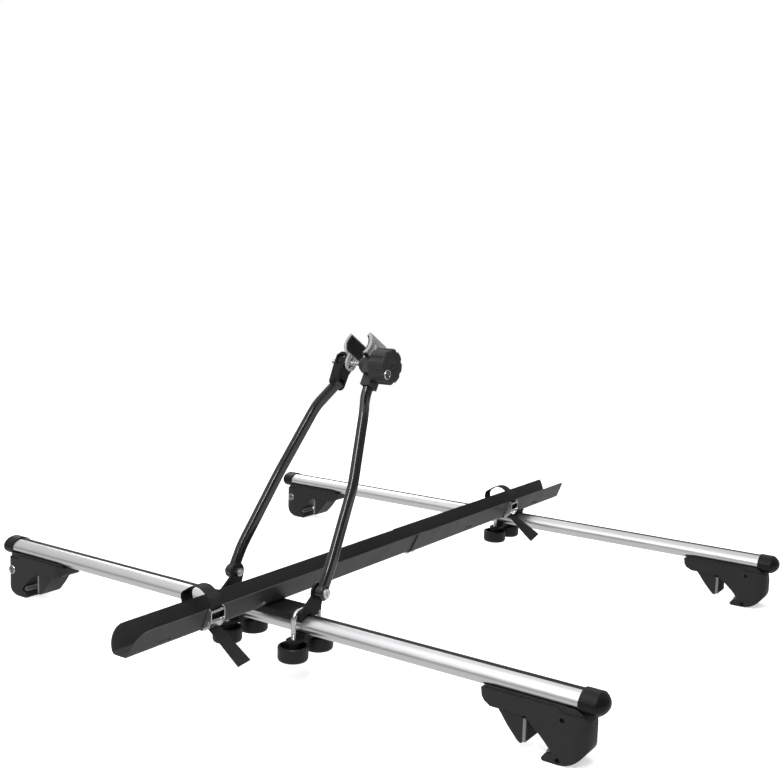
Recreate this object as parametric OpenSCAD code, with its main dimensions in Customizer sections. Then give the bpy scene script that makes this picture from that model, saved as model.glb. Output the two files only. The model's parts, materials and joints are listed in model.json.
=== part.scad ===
// Roof mounted bike carrier: a two-part steel tray on two aluminium roof bars,
// a folding arm of two bent legs with a screw clamp for the bicycle frame,
// two wheel straps, three U-bolt clamps with cup knobs and four locking rail feet.
// Millimetres. X runs along the tray to its rear end, Y along the bars, Z is up.

/* [Roof bars] */
// Length of each aluminium bar without its end caps
bar_len = 1216; // [1000:10:1300]
// Width of the bar profile, front to back
bar_w = 45; // [42:1:50]
// Height of the bar profile
bar_h = 31; // [29:0.5:34]
// Radius of the front and back edges of the profile
bar_edge_r = 9; // [8:0.5:11]
// Wall of the hollow profile
bar_wall = 2.2; // [1.8:0.1:2.6]
// Distance between the two bars
bar_spacing = 868; // [780:4:920]
// Mouth of the slots in the top and the underside of the bar
slot_mouth = 10; // [9:0.5:12]
// Width of the slots behind the mouth
slot_w = 16; // [14:0.5:18]
// Height of the slots behind the mouth
slot_h = 4.6; // [4:0.2:5.4]
// How far an end cap stands out past its bar
cap_len = 38; // [30:1:44]
// How far the rim of an end cap stands proud of the bar
cap_rim = 2.2; // [1:0.2:3]

/* [Feet] */
// Height of the bar axis over the ground
foot_rise = 92; // [88:1:100]
// Width of a foot, front to back
foot_w = 54; // [50:1:60]
// Length of a foot along the bar
foot_len = 172; // [166:1:180]
// How far a foot's outer end stands past the end of the bar
foot_over = 20; // [14:1:24]
// Width of the sliding jaw
jaw_w = 46; // [40:1:48]
// Travel of the sliding jaw away from the hook
jaw_travel = 20; // [14:1:22]
// Thickness of the rubber pads that touch the roof rail
rail_pad_t = 5.5; // [4:0.5:6]
// Diameter of the lock barrels
lock_d = 15; // [13:0.5:17]
// Depth of the lock barrels
lock_depth = 12; // [9:1:14]

/* [Tray] */
// Overall length of the tray
tray_len = 1390; // [1300:10:1440]
// Where the middle of the tray crosses the bars
tray_y = -40; // [-60:2:60]
// Width of the tray floor
floor_w = 30; // [28:1:36]
// Width of the tray across the tops of its walls
tray_w = 58; // [54:1:70]
// Height of the tray walls
wall_h = 36; // [32:1:42]
// Steel sheet of the tray
sheet = 2; // [1.5:0.1:2.5]
// Gap between the nested halves
nest_gap = 0.2; // [0.1:0.05:0.4]
// Overlap of the two halves
lap = 44; // [40:1:60]
// Distance from the front end of the tray to the front bar
front_overhang = 323; // [280:1:360]

/* [Hold-down clamps] */
// Rod of the U-bolts
rod_d = 8; // [7:0.5:9]
// Distance between the legs of a U-bolt
u_spacing = 66; // [64:1:74]
// Corner radius of a U-bolt, on the rod's centre line
u_corner = 13; // [10:1:16]
// Distance of the near front U-bolt from the middle of the tray
u_near = 80; // [70:1:80]
// Distance of the far front U-bolt from the middle of the tray
u_far = 62; // [56:1:74]
// Distance of the rear U-bolt from the middle of the tray
u_rear = 28; // [26:1:32]
// Travel of the clamp plates, downwards
plate_travel = 10; // [6:1:12]
// Diameter of the cup knobs
cup_d = 50; // [44:1:54]
// Height of the cup knobs
cup_h = 25; // [20:1:28]

/* [Arm] */
// Long side of the flat-oval tube of the legs
tube_w = 22; // [20:1:25]
// Short side of the flat-oval tube
tube_t = 14; // [12:0.5:16]
// Distance of the pivots from the middle of the tray
pivot_offset = 97; // [97:1:108]
// Shoulder of the pivot bolts
pivot_d = 10; // [8:0.5:12]
// Height of the pivots over the base plate
pivot_rise = 29; // [26:1:32]
// Distance from the pivots to the clamp screw
arm_len = 412; // [380:2:430]
// Lean of the arm from upright
arm_lean = 31; // [26:0.5:36]

/* [Frame clamp] */
// Lean of the clamp head from upright
head_lean = 30; // [26:0.5:34]
// Radius of the bicycle tube that the pads are shaped for
grip_r = 21; // [19:0.5:23]
// Thickness of the jaw pads
grip_pad_t = 3; // [2.5:0.25:4]
// Width of the jaws along the bicycle tube
jaw_len = 58; // [50:1:66]
// Clamp screw
screw_d = 8; // [7:0.5:9]
// Diameter of the big clamp knob
knob_d = 65; // [63:1:68]
// Length of the big clamp knob
knob_len = 34; // [28:1:36]
// Height of the clamp screw over the hinge pin of the far claw
claw_reach = 42; // [38:1:46]
// Hinge pin of the far claw
claw_pin_d = 6; // [5:0.5:7]
// Barrel nut in the far claw
nut_d = 14; // [13:0.5:15]

/* [Straps] */
// Width of the webbing
strap_w = 25; // [22:1:28]
// Thickness of the webbing
strap_t = 1.6; // [1.2:0.1:2]
// Top of the strap over the tray floor
strap_top = 66; // [60:1:76]
// Distance of the front strap in front of the front bar
front_strap_x = 160; // [130:2:190]
// Distance of the rear strap in front of the rear bar
rear_strap_x = 66; // [58:1:74]
// Length of the free tail of a strap
tail_len = 76; // [50:2:84]
// How steeply the free tail hangs
tail_dip = 28; // [20:1:40]

/* [Fits] */
// Radial clearance of turning pieces
run_fit = 0.05; // [0.03:0.01:0.08]
// Gap between pieces that move past each other
slide_gap = 0.4; // [0.35:0.05:0.6]
// Gap of seats that stay still
seat_gap = 0.1; // [0.05:0.05:0.2]

/* [Hidden] */
$fn = 64;
bar_z = foot_rise;
bar_top = bar_z + bar_h / 2;
bar_low = bar_z - bar_h / 2;
front_x = front_overhang - tray_len / 2;
rear_x = front_x + bar_spacing;
bar_big_r = (pow(bar_w / 2 - bar_edge_r, 2) + pow(bar_h / 2, 2) - pow(bar_edge_r, 2))
    / (bar_h - 2 * bar_edge_r);
slot_lip = 2;
pad_t = 3;
plate_t = 3;
plate_w = u_spacing - rod_d - 4;
plate_top = bar_top + pad_t + plate_t;
floor_z = plate_top;
rear_drop = sheet + nest_gap;
rear_plate_top = floor_z - rear_drop - seat_gap / 2;
half_x = tray_len / 2;
strap_front = front_x - front_strap_x;
strap_rear = rear_x - rear_strap_x;
lap_x = 31;
ear_t = 4;
ear_out = pivot_offset - tube_t / 2 - slide_gap;
ear_r = 16;
pivot_x = front_x + 17;
pivot_z = plate_top + pivot_rise;
bolt_thread = pivot_d - 2;
head_x = pivot_x + arm_len * sin(arm_lean);
head_z = pivot_z + arm_len * cos(arm_lean);
wall_tilt = atan((tray_w - floor_w) / 2 / wall_h);
foot_end = bar_len / 2 + foot_over;
rear_plate_t = 2;
rear_plate_near = 16;
rear_plate_far = u_rear + 14;
clamp_t = 5;
clamp_z = bar_low - 2 - clamp_t;
clamp_boss = 18;
cup_floor = 4;
cup_wall = 3.5;
cup_top = bar_low - 1.5 - plate_travel;
cup_low = cup_top - cup_h;
u_end = cup_low + 9;
grip_y = -7;
grip_z = 30;
jaw_r = grip_r + grip_pad_t;
near_top_x = 10;
near_top_y = -36.2;
claw_pin_y = 26;
knob_y = -46;
housing_back = knob_y + slide_gap;
screw_head_y = knob_y - knob_len + 8;
hub_r = 13;
lock_x = -0.12 * knob_d;
lock_z = -0.29 * knob_d;
nut_float = 2.6;
nut_play = 0.5;
nut_len = 26;
claw_half = 15;
buckle_half = strap_w / 2 + 1.3;
buckle_d = 13;
buckle_h = 21;
buckle_plate = 1.6;
buckle_pin_d = 4;
foot_low = -foot_rise;
key_len = 60;
lock_proud = 1.2;
key_slot_w = 1.6;
key_slot_half = 4;
key_slot_depth = 3;

// Smooth bends: every inner corner of a path becomes a short parabolic arc.
function unit(v) = v / norm(v);
function bend_at(a, v, b, reach, steps) =
    let (p = v + unit(a - v) * reach, q = v + unit(b - v) * reach)
    [for (i = [0:steps]) let (t = i / steps) p * pow(1 - t, 2) + v * 2 * t * (1 - t) + q * t * t];
function bent(path, reach, steps) = concat(
    [path[0]],
    [for (i = [1:len(path) - 2]) each bend_at(path[i - 1], path[i], path[i + 1], reach, steps)],
    [path[len(path) - 1]]);
function tangent(path, i) =
    unit(path[min(i + 1, len(path) - 1)] - path[max(i - 1, 0)]);

// A strip of even thickness along a path in a plane.
function left_of(path, d) =
    [for (i = [0:len(path) - 1]) let (t = tangent(path, i)) path[i] + d * [-t[1], t[0]]];
module ribbon(path, t) {
    left = left_of(path, t / 2);
    right = left_of(path, -t / 2);
    polygon(concat(left, [for (i = [len(right) - 1:-1:0]) right[i]]));
}

// A flat-oval tube along a path in space, its short side close to the Y direction.
function oval_ring(w, t, n) = concat(
    [for (i = [0:n]) let (a = -90 + 180 * i / n) [(w - t) / 2 + t / 2 * cos(a), t / 2 * sin(a)]],
    [for (i = [0:n]) let (a = 90 + 180 * i / n) [-(w - t) / 2 + t / 2 * cos(a), t / 2 * sin(a)]]);
module oval_tube(path, w, t) {
    ring = oval_ring(w, t, 8);
    n = len(ring);
    m = len(path);
    points = [for (i = [0:m - 1])
        let (d = tangent(path, i), s = unit(cross([0, 1, 0], d)), y = cross(d, s))
        for (p = ring) path[i] + s * p[0] + y * p[1]];
    sides = [for (i = [0:m - 2]) for (j = [0:n - 1])
        let (k = (j + 1) % n)
        [i * n + j, (i + 1) * n + j, (i + 1) * n + k, i * n + k]];
    polyhedron(points, concat(
        sides,
        [[for (j = [0:n - 1]) j]],
        [[for (j = [n - 1:-1:0]) (m - 1) * n + j]]), convexity = 6);
}

module along_y(x, y, z) {
    translate([x, y, z]) rotate([90, 0, 0]) children();
}
module bore_y(d, x, y0, y1, z) {
    translate([x, y0, z]) rotate([-90, 0, 0]) cylinder(d = d, h = y1 - y0);
}
module bore_x(d, x0, x1, y, z) {
    translate([x0, y, z]) rotate([0, 90, 0]) cylinder(d = d, h = x1 - x0);
}
module block(x0, x1, y0, y1, z0, z1) {
    translate([x0, y0, z0]) cube([x1 - x0, y1 - y0, z1 - z0]);
}
module hex_prism(across, h) {
    cylinder(d = across / cos(30), h = h, $fn = 6);
}

// Oval of four tangent arcs, grown by g on every side.
module oval(g) {
    arm = bar_w / 2 - bar_edge_r;
    drop = bar_big_r - bar_h / 2;
    reach = arm * bar_big_r / (bar_big_r - bar_edge_r);
    intersection() {
        translate([0, -drop]) circle(r = bar_big_r + g);
        translate([0, drop]) circle(r = bar_big_r + g);
        square([2 * reach, 2 * bar_h], center = true);
    }
    for (s = [-1, 1]) translate([s * arm, 0]) circle(r = bar_edge_r + g);
}
module tee(mouth, wide, lip, high) {
    translate([-mouth / 2, -lip - high]) square([mouth, lip + high + 1]);
    translate([-wide / 2, -lip - high]) square([wide, high]);
}
module bar_profile() {
    difference() {
        oval(0);
        difference() {
            oval(-bar_wall);
            for (s = [-1, 1]) translate([0, s * (bar_h / 2 - (slot_lip + slot_h + bar_wall) / 2)])
                square([slot_w + 2 * bar_wall, slot_lip + slot_h + bar_wall], center = true);
        }
        translate([0, bar_h / 2]) tee(slot_mouth, slot_w, slot_lip, slot_h);
        rotate(180) translate([0, bar_h / 2]) tee(slot_mouth, slot_w, slot_lip, slot_h);
    }
}
module bar(x) {
    along_y(x, 0, bar_z) linear_extrude(bar_len, center = true) bar_profile();
}
module bar_void(x, y0, y1, g) {
    along_y(x, y1, bar_z) linear_extrude(y1 - y0) oval(g);
    block(x - slot_mouth / 2 - g, x + slot_mouth / 2 + g, y0, y1, bar_top - 2, bar_top + g);
}

// End cap: the bar's oval closed by a dome, with two spigots inside the bar.
module end_cap(x, side) {
    spigot = 14;
    dome = [0.72 * bar_w, cap_len, 0.75 * bar_h];
    web_half = slot_w / 2 + bar_wall + seat_gap;
    translate([x, side * bar_len / 2, bar_z]) mirror([0, side < 0 ? 1 : 0, 0]) {
        intersection() {
            along_y(0, cap_len, 0) linear_extrude(cap_len) oval(cap_rim);
            scale(dome) sphere(r = 1);
        }
        difference() {
            along_y(0, 0.5, 0) linear_extrude(spigot) oval(-bar_wall - seat_gap);
            block(-web_half, web_half, -spigot - 1, 0, -bar_h, bar_h);
        }
    }
}
module strip(x) {
    along_y(x, 0, bar_top - seat_gap) linear_extrude(bar_len - 2, center = true)
        translate([0, -seat_gap]) union() {
            translate([-slot_mouth / 2 + seat_gap, -slot_lip - 2])
                square([slot_mouth - 2 * seat_gap, slot_lip + 2]);
            translate([-slot_w / 2 + seat_gap, -slot_lip - slot_h + 2 * seat_gap + 0.4])
                square([slot_w - 2 * seat_gap, slot_h - 4 * seat_gap - 0.4]);
        }
}

module front_bar() color("silver") bar(front_x);
module rear_bar() color("silver") bar(rear_x);
module bar_strips() color("black") {
    strip(front_x);
    strip(rear_x);
}
module bar_end_caps() color("black") {
    for (x = [front_x, rear_x]) for (s = [-1, 1]) end_cap(x, s);
}

// Feet. One foot is drawn with its outer end on the XZ plane, reaching inwards along +Y,
// with its lock in the +X face; the feet at the far ends are the same part turned round.
module at_foot(x, side) {
    translate([x, side * foot_end, bar_z]) rotate(side < 0 ? 0 : 180) children();
}
module across(w) {
    translate([-w / 2, 0, 0]) rotate([90, 0, 90]) linear_extrude(w) children();
}
beam_low = -36;
ridge = -11;
lip_top = -7;
heel_r = foot_rise / 2;
pocket = [heel_r + 7.6, foot_low + 14.5];
hook_top = pocket + [10, -2.9];
arch_r = 1.62 * foot_rise;
arch_z = -1.826 * foot_rise;
arch_y = pocket[0] + sqrt(pow(arch_r, 2) - pow(pocket[1] - arch_z, 2));
pad_face = pocket[0] + 42.4;
jaw_face = pad_face + rail_pad_t;
lock_at = [24, -42];
screw_holes = [[40, -27], [44, foot_low + 6]];
screw_hole_d = 7;
screw_hole_depth = 5;
module heel() {
    intersection() {
        translate([heel_r, -heel_r]) circle(r = heel_r);
        translate([0, foot_low]) square([heel_r + 1, foot_rise]);
    }
}
module foot_side() {
    step_z = ridge - 7;
    difference() {
        union() {
            heel();
            polygon([[heel_r, ridge], [foot_len - 19, ridge], [foot_len, ridge - 3.5],
                [foot_len - 2, ridge - 15], [foot_len - 7, beam_low + 4], [foot_len - 20, beam_low],
                [pad_face, beam_low], pocket, hook_top, hook_top + [5.6, -7.6],
                hook_top + [4.8, -10.2], [hook_top[0] + 2, foot_low], [heel_r, foot_low]]);
        }
        polygon([[-1, 1], [-1, step_z], [heel_r - 6, step_z], [heel_r + 4, ridge],
            [2 * heel_r, ridge], [2 * heel_r, 1]]);
        intersection() {
            translate([arch_y, arch_z]) circle(r = arch_r);
            translate([heel_r, pocket[1]]) square([foot_len, beam_low - pocket[1]]);
        }
    }
}
module lip_side() {
    intersection() {
        union() {
            heel();
            translate([heel_r, -foot_w]) square([foot_len - heel_r - 6, foot_w]);
        }
        translate([0, 2 * ridge]) square([foot_len, lip_top - 2 * ridge]);
    }
}
module foot_plan(w) {
    nose = 20;
    nose_in = 8;
    translate([0, foot_w / 2]) circle(r = w / 2);
    translate([-w / 2, foot_w / 2]) square([w, foot_len - nose - foot_w / 2]);
    polygon([[-w / 2, foot_len - nose], [w / 2, foot_len - nose],
        [w / 2 - nose_in, foot_len], [-w / 2 + nose_in, foot_len]]);
}
key_y = 40;
jaw_key = [jaw_face + 7, jaw_face + 27];
jaw_neck = 6;
jaw_tee = 10;
jaw_tee_h = 6;
module foot_body(x, side) {
    lip_in = 3;
    saddle_gap = slide_gap + 0.2;
    cap_room = foot_over + 16;
    slot_y0 = jaw_key[0] - 1;
    slot_y1 = jaw_key[1] + jaw_travel + 1;
    neck_half = jaw_neck + slide_gap;
    tee_half = jaw_tee + slide_gap;
    key_top = -bar_h / 2 + slot_lip + slot_h - slide_gap;
    at_foot(x, side) color("dimgray") {
        difference() {
            union() {
                intersection() {
                    across(foot_w + 2) foot_side();
                    translate([0, 0, foot_low - 1]) linear_extrude(foot_rise + 10) foot_plan(foot_w);
                }
                intersection() {
                    across(foot_w) lip_side();
                    translate([0, 0, -foot_w]) linear_extrude(foot_w) foot_plan(foot_w - 2 * lip_in);
                }
            }
            along_y(0, foot_len + 1, 0) linear_extrude(foot_len + 2) oval(saddle_gap);
            along_y(0, cap_room, 0) linear_extrude(cap_room + 1) oval(cap_rim + saddle_gap);
            block(-neck_half, neck_half, slot_y0, slot_y1, beam_low - 1, beam_low + jaw_tee_h);
            block(-tee_half, tee_half, slot_y0, slot_y1, beam_low + jaw_tee_h - 1 - slide_gap,
                beam_low + 2 * jaw_tee_h - 1 + slide_gap);
            bore_x(lock_d + 2 * run_fit, foot_w / 2 - lock_depth, foot_w, lock_at[0], lock_at[1]);
            for (p = screw_holes)
                bore_x(screw_hole_d, -foot_w, -foot_w / 2 + screw_hole_depth, p[0], p[1]);
        }
        block(-slot_mouth / 2 + slide_gap, slot_mouth / 2 - slide_gap, key_y, key_y + key_len,
            -bar_h / 2 - 2, key_top);
        block(-slot_w / 2 + slide_gap, slot_w / 2 - slide_gap, key_y, key_y + key_len,
            -bar_h / 2 + slot_lip + slide_gap, key_top);
    }
}
module foot_jaw(x, side) {
    low = pocket[1] - 1;
    at_foot(x, side) color("dimgray") {
        across(jaw_w) polygon([[jaw_face + 2, beam_low - slide_gap], [jaw_face, beam_low - 2.5],
            [jaw_face, low], [jaw_face + 3, low], [jaw_face + 8, low + 3.5],
            [jaw_face + 23.5, low + 20.5], [jaw_face + 34, low + 34.5],
            [jaw_face + 40, beam_low - slide_gap]]);
        block(-jaw_neck, jaw_neck, jaw_key[0], jaw_key[1], beam_low - 1, beam_low + jaw_tee_h);
        block(-jaw_tee, jaw_tee, jaw_key[0], jaw_key[1], beam_low + jaw_tee_h - 1,
            beam_low + 2 * jaw_tee_h - 1);
    }
}
module foot_jaw_pad(x, side) {
    at_foot(x, side) color("gray") block(-jaw_w / 2 + 1, jaw_w / 2 - 1, pad_face,
        jaw_face - seat_gap / 2, pocket[1] + 1, beam_low - 5.5);
}
module foot_hook_pad(x, side) {
    at_foot(x, side) color("gray") across(foot_w - 10) translate(pocket)
        polygon([[0.9, -0.1], [9.6, -2.6], [10.3, -0.2], [4.8, 1.6], [9, 7], [6.6, 6.9]]);
}
module foot_lock(x, side) {
    at_foot(x, side) color("silver") difference() {
        bore_x(lock_d, foot_w / 2 - lock_depth + slide_gap, foot_w / 2 + lock_proud,
            lock_at[0], lock_at[1]);
        block(foot_w / 2 - key_slot_depth, foot_w, lock_at[0] - key_slot_w / 2,
            lock_at[0] + key_slot_w / 2, lock_at[1] - key_slot_half, lock_at[1] + key_slot_half);
    }
}

module foot_fn() foot_body(front_x, -1);
module foot_ff() foot_body(front_x, 1);
module foot_rn() foot_body(rear_x, -1);
module foot_rf() foot_body(rear_x, 1);
module jaw_fn() foot_jaw(front_x, -1);
module jaw_ff() foot_jaw(front_x, 1);
module jaw_rn() foot_jaw(rear_x, -1);
module jaw_rf() foot_jaw(rear_x, 1);
module jaw_pad_fn() foot_jaw_pad(front_x, -1);
module jaw_pad_ff() foot_jaw_pad(front_x, 1);
module jaw_pad_rn() foot_jaw_pad(rear_x, -1);
module jaw_pad_rf() foot_jaw_pad(rear_x, 1);
module hook_pad_fn() foot_hook_pad(front_x, -1);
module hook_pad_ff() foot_hook_pad(front_x, 1);
module hook_pad_rn() foot_hook_pad(rear_x, -1);
module hook_pad_rf() foot_hook_pad(rear_x, 1);
module lock_fn() foot_lock(front_x, -1);
module lock_ff() foot_lock(front_x, 1);
module lock_rn() foot_lock(rear_x, -1);
module lock_rf() foot_lock(rear_x, 1);

// Tray: two nested channels of bent sheet. The outer line of the section lies o outside
// the outer line of the front half.
function corner_y(o) = floor_w / 2 + o * (1 - sin(wall_tilt)) / cos(wall_tilt);
function top_y(o) = corner_y(o) + (wall_h + o) * tan(wall_tilt);
function channel(o) = [[top_y(o), wall_h], [corner_y(o), -o], [-corner_y(o), -o], [-top_y(o), wall_h]];
module tray_section(o) {
    ribbon(bent(channel(o - sheet / 2), 5, 4), sheet);
}
module tray_shell(x0, x1, o) {
    translate([x0, tray_y, floor_z]) rotate([90, 0, 90]) linear_extrude(x1 - x0) tray_section(o);
}
wall_slot_len = 21;
wall_slot_d = 5;
module wall_slot(x) {
    z = floor_z + 0.21 * wall_h;
    half = wall_slot_len / 2;
    for (s = [-half, half]) along_y(x + s, tray_y + tray_w, z)
        cylinder(d = wall_slot_d, h = 2 * tray_w);
    block(x - half, x + half, tray_y - tray_w, tray_y + tray_w,
        z - wall_slot_d / 2, z + wall_slot_d / 2);
}
module side_outline(x0, x1, r0, r1) {
    low = -rear_drop - 1;
    translate([x0, low]) square([x1 - x0, wall_h - r0 - low]);
    translate([x0 + r0, 0]) square([x1 - x0 - r0 - r1, wall_h + 1]);
    translate([x0 + r0, wall_h - r0]) circle(r = r0);
    translate([x1 - r1, 0]) square([r1, wall_h - r1]);
    translate([x1 - r1, wall_h - r1]) circle(r = r1);
}
module in_outline() {
    intersection() {
        children(0);
        along_y(0, tray_y + tray_w, floor_z) linear_extrude(2 * tray_w) children(1);
    }
}
end_cut = 5;
lap_slant = 9;
tray_bolt_d = 6;
tray_bolt_head = [13, 9, 3];
tray_nut_h = 5.9;
tray_bolt_x = [front_x - 14, front_x + 14, lap_x + 0.32 * lap, lap_x + 0.74 * lap,
    rear_x - 14, rear_x + 14];
module front_tray() color("dimgray") difference() {
    in_outline() {
        tray_shell(-half_x, lap_x + lap, 0);
        side_outline(-half_x, lap_x + lap, wall_h - 4, end_cut);
    }
    wall_slot(strap_front - 0.6 * front_strap_x);
    wall_slot(strap_front + 0.75 * front_strap_x);
    for (i = [0:3]) translate([tray_bolt_x[i], tray_y, floor_z - 1])
        cylinder(d = tray_bolt_d + 2 * seat_gap, h = sheet + 2);
}
module rear_tray() color("dimgray") difference() {
    in_outline() {
        tray_shell(lap_x, half_x, rear_drop);
        polygon([[lap_x, -rear_drop - 1], [half_x, -rear_drop - 1], [half_x, wall_h - end_cut],
            [half_x - end_cut, wall_h + 1], [lap_x + lap_slant, wall_h + 1]]);
    }
    wall_slot((lap_x + lap + strap_rear) / 2);
    wall_slot((strap_rear + half_x) / 2);
    for (i = [2:5]) translate([tray_bolt_x[i], tray_y, floor_z - rear_drop - 1])
        cylinder(d = tray_bolt_d + 2 * seat_gap, h = rear_drop + 2);
}
module tray_bolts() color("silver") {
    lows = [floor_z - plate_t, floor_z - rear_drop - tray_nut_h - 1.1, rear_plate_top - rear_plate_t];
    tops = [floor_z + sheet, floor_z + sheet, floor_z - rear_drop + sheet];
    for (i = [0:5]) {
        low = lows[floor(i / 2)];
        top = tops[floor(i / 2)];
        translate([tray_bolt_x[i], tray_y, low]) cylinder(d = tray_bolt_d, h = top + 1 - low);
        translate([tray_bolt_x[i], tray_y, top + seat_gap / 2])
            cylinder(d1 = tray_bolt_head[0], d2 = tray_bolt_head[1], h = tray_bolt_head[2]);
        if (i == 2 || i == 3) translate([tray_bolt_x[i], tray_y, low + 1]) hex_prism(10, tray_nut_h);
    }
}

// Base on the front bar, saddle on the rear bar, U-bolts.
module ear_outline() {
    translate([pivot_x - front_x, pivot_rise]) circle(r = ear_r);
    polygon([[-plate_w / 2, -plate_t], [plate_w / 2, -plate_t], [plate_w / 2, 4],
        [pivot_x - front_x + ear_r, pivot_rise - 4], [pivot_x - front_x, pivot_rise],
        [pivot_x - front_x - ear_r, pivot_rise - 4], [-plate_w / 2, 4]]);
}
module base_bracket() color("dimgray") difference() {
    union() {
        block(front_x - plate_w / 2, front_x + plate_w / 2, tray_y - ear_out, tray_y + ear_out,
            plate_top - plate_t, plate_top);
        for (y = [-ear_out, ear_out - ear_t])
            along_y(front_x, tray_y + y + ear_t, plate_top) linear_extrude(ear_t) ear_outline();
    }
    bore_y(bolt_thread + 2 * seat_gap, pivot_x, tray_y - pivot_offset, tray_y + pivot_offset, pivot_z);
    for (y = [-u_near, u_far]) u_bolt_slots(front_x, tray_y + y, plate_top - plate_t - 1, plate_t + 2);
    for (i = [0, 1]) translate([tray_bolt_x[i], tray_y, plate_top - plate_t - 1])
        cylinder(d = tray_bolt_d + seat_gap, h = plate_t + 2);
}
module bracket_pad() color("black") difference() {
    block(front_x - bar_w / 2, front_x + bar_w / 2, tray_y - ear_out + 4, tray_y + ear_out - 4,
        bar_top - 5, bar_top + pad_t - seat_gap);
    bar_void(front_x, tray_y - pivot_offset, tray_y + pivot_offset, seat_gap);
}
module rear_plate() color("dimgray") difference() {
    block(rear_x - plate_w / 2, rear_x + plate_w / 2, tray_y - rear_plate_near, tray_y + rear_plate_far,
        rear_plate_top - rear_plate_t, rear_plate_top);
    u_bolt_slots(rear_x, tray_y + u_rear, rear_plate_top - rear_plate_t - 1, rear_plate_t + 2);
    for (i = [4, 5]) translate([tray_bolt_x[i], tray_y, rear_plate_top - rear_plate_t - 1])
        cylinder(d = tray_bolt_d + seat_gap, h = rear_plate_t + 2);
}
module rear_saddle() color("black") difference() {
    block(rear_x - bar_w / 2, rear_x + bar_w / 2, tray_y - rear_plate_near + 1,
        tray_y + rear_plate_far - 1, bar_top - 5, rear_plate_top - rear_plate_t - seat_gap);
    bar_void(rear_x, tray_y - 2 * rear_plate_near, tray_y + 2 * rear_plate_far, seat_gap);
}
// Room for the two corners of a U-bolt in the plate that it holds down.
module u_bolt_slots(x, y, z, h) {
    room = rod_d + 2 * slide_gap;
    for (s = [-1, 1]) {
        for (d = [u_spacing / 2, u_spacing / 2 - u_corner]) translate([x + s * d, y, z])
            cylinder(d = room, h = h);
        translate([x + s * (u_spacing - u_corner) / 2, y, z + h / 2])
            cube([u_corner, room, h], center = true);
    }
}
module u_bolt(x, y, crown_z) {
    top = crown_z + rod_d / 2;
    for (s = [-1, 1]) translate([x + s * u_spacing / 2, y, u_end])
        cylinder(d = rod_d, h = top - u_corner - u_end);
    bore_x(rod_d, x - u_spacing / 2 + u_corner, x + u_spacing / 2 - u_corner, y, top);
    for (s = [0, 1]) translate([x, y, top - u_corner]) mirror([s, 0, 0])
        translate([u_spacing / 2 - u_corner, 0, 0]) rotate([90, 0, 0])
        rotate_extrude(angle = 90) translate([u_corner, 0]) circle(d = rod_d);
}
module u_bolts() color("silver") {
    for (y = [-u_near, u_far]) u_bolt(front_x, tray_y + y, plate_top + seat_gap);
    u_bolt(rear_x, tray_y + u_rear, rear_plate_top + seat_gap);
}
module pivot_bolts() color("silver") for (s = [-1, 1])
    translate([pivot_x, tray_y, pivot_z]) mirror([0, s < 0 ? 1 : 0, 0]) {
        head_y = pivot_offset + tube_t / 2 + slide_gap;
        bore_y(pivot_d, 0, ear_out + seat_gap / 2, head_y + 1, 0);
        bore_y(bolt_thread, 0, ear_out - ear_t - 8, ear_out + 1, 0);
        difference() {
            bore_y(pivot_d + 7, 0, head_y, head_y + 4, 0);
            along_y(0, head_y + 5, 0) hex_prism(6, 3.5);
        }
        along_y(0, ear_out - ear_t - seat_gap / 2, 0) hex_prism(13, 6);
    }

// Clamp plates under the bars and the cup knobs that draw them up.
clamp_half = 12;
cradle_half = 19;
cradle_h = 5;
module clamp_plate(x, y) {
    color("dimgray") difference() {
        union() {
            for (s = [-1, 1]) translate([x + s * u_spacing / 2, y, clamp_z])
                cylinder(r = clamp_half, h = clamp_t);
            block(x - u_spacing / 2, x + u_spacing / 2, y - clamp_half, y + clamp_half,
                clamp_z, clamp_z + clamp_t);
            block(x - cradle_half, x + cradle_half, y - clamp_half, y + clamp_half,
                clamp_z, bar_low + cradle_h);
        }
        along_y(x, y + 2 * clamp_half, bar_z) linear_extrude(4 * clamp_half) oval(slide_gap);
        for (s = [-1, 1]) translate([x + s * u_spacing / 2, y, clamp_z - 1])
            cylinder(d = rod_d + 2 * slide_gap, h = clamp_t + 2);
    }
}
module cup_knob(x, y) {
    rim = 1.5;
    foot_round = 5;
    rib_half = 1.2;
    rib_drop = 9;
    color("black") translate([x, y, 0]) difference() {
        union() {
            translate([0, 0, cup_low]) rotate_extrude() polygon([[0, 0], [cup_d / 2 - foot_round, 0],
                [cup_d / 2 - rim, rim], [cup_d / 2, foot_round], [cup_d / 2, cup_h - rim],
                [cup_d / 2 - rim, cup_h], [cup_d / 2 - cup_wall, cup_h],
                [cup_d / 2 - cup_wall, cup_floor], [0, cup_floor]]);
            translate([0, 0, cup_low]) cylinder(d = clamp_boss, h = clamp_z - slide_gap - cup_low);
            for (a = [0:60:300]) rotate(a)
                block(0, cup_d / 2 - 1, -rib_half, rib_half, cup_low + 1, cup_low + cup_h - rib_drop);
        }
        translate([0, 0, cup_low + cup_floor]) cylinder(d = rod_d + 2 * run_fit, h = 2 * cup_h);
    }
}
module plate_near() clamp_plate(front_x, tray_y - u_near);
module plate_far() clamp_plate(front_x, tray_y + u_far);
module plate_rear() clamp_plate(rear_x, tray_y + u_rear);
module knob_near_a() cup_knob(front_x - u_spacing / 2, tray_y - u_near);
module knob_near_b() cup_knob(front_x + u_spacing / 2, tray_y - u_near);
module knob_far_a() cup_knob(front_x - u_spacing / 2, tray_y + u_far);
module knob_far_b() cup_knob(front_x + u_spacing / 2, tray_y + u_far);
module knob_rear_a() cup_knob(rear_x - u_spacing / 2, tray_y + u_rear);
module knob_rear_b() cup_knob(rear_x + u_spacing / 2, tray_y + u_rear);

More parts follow.
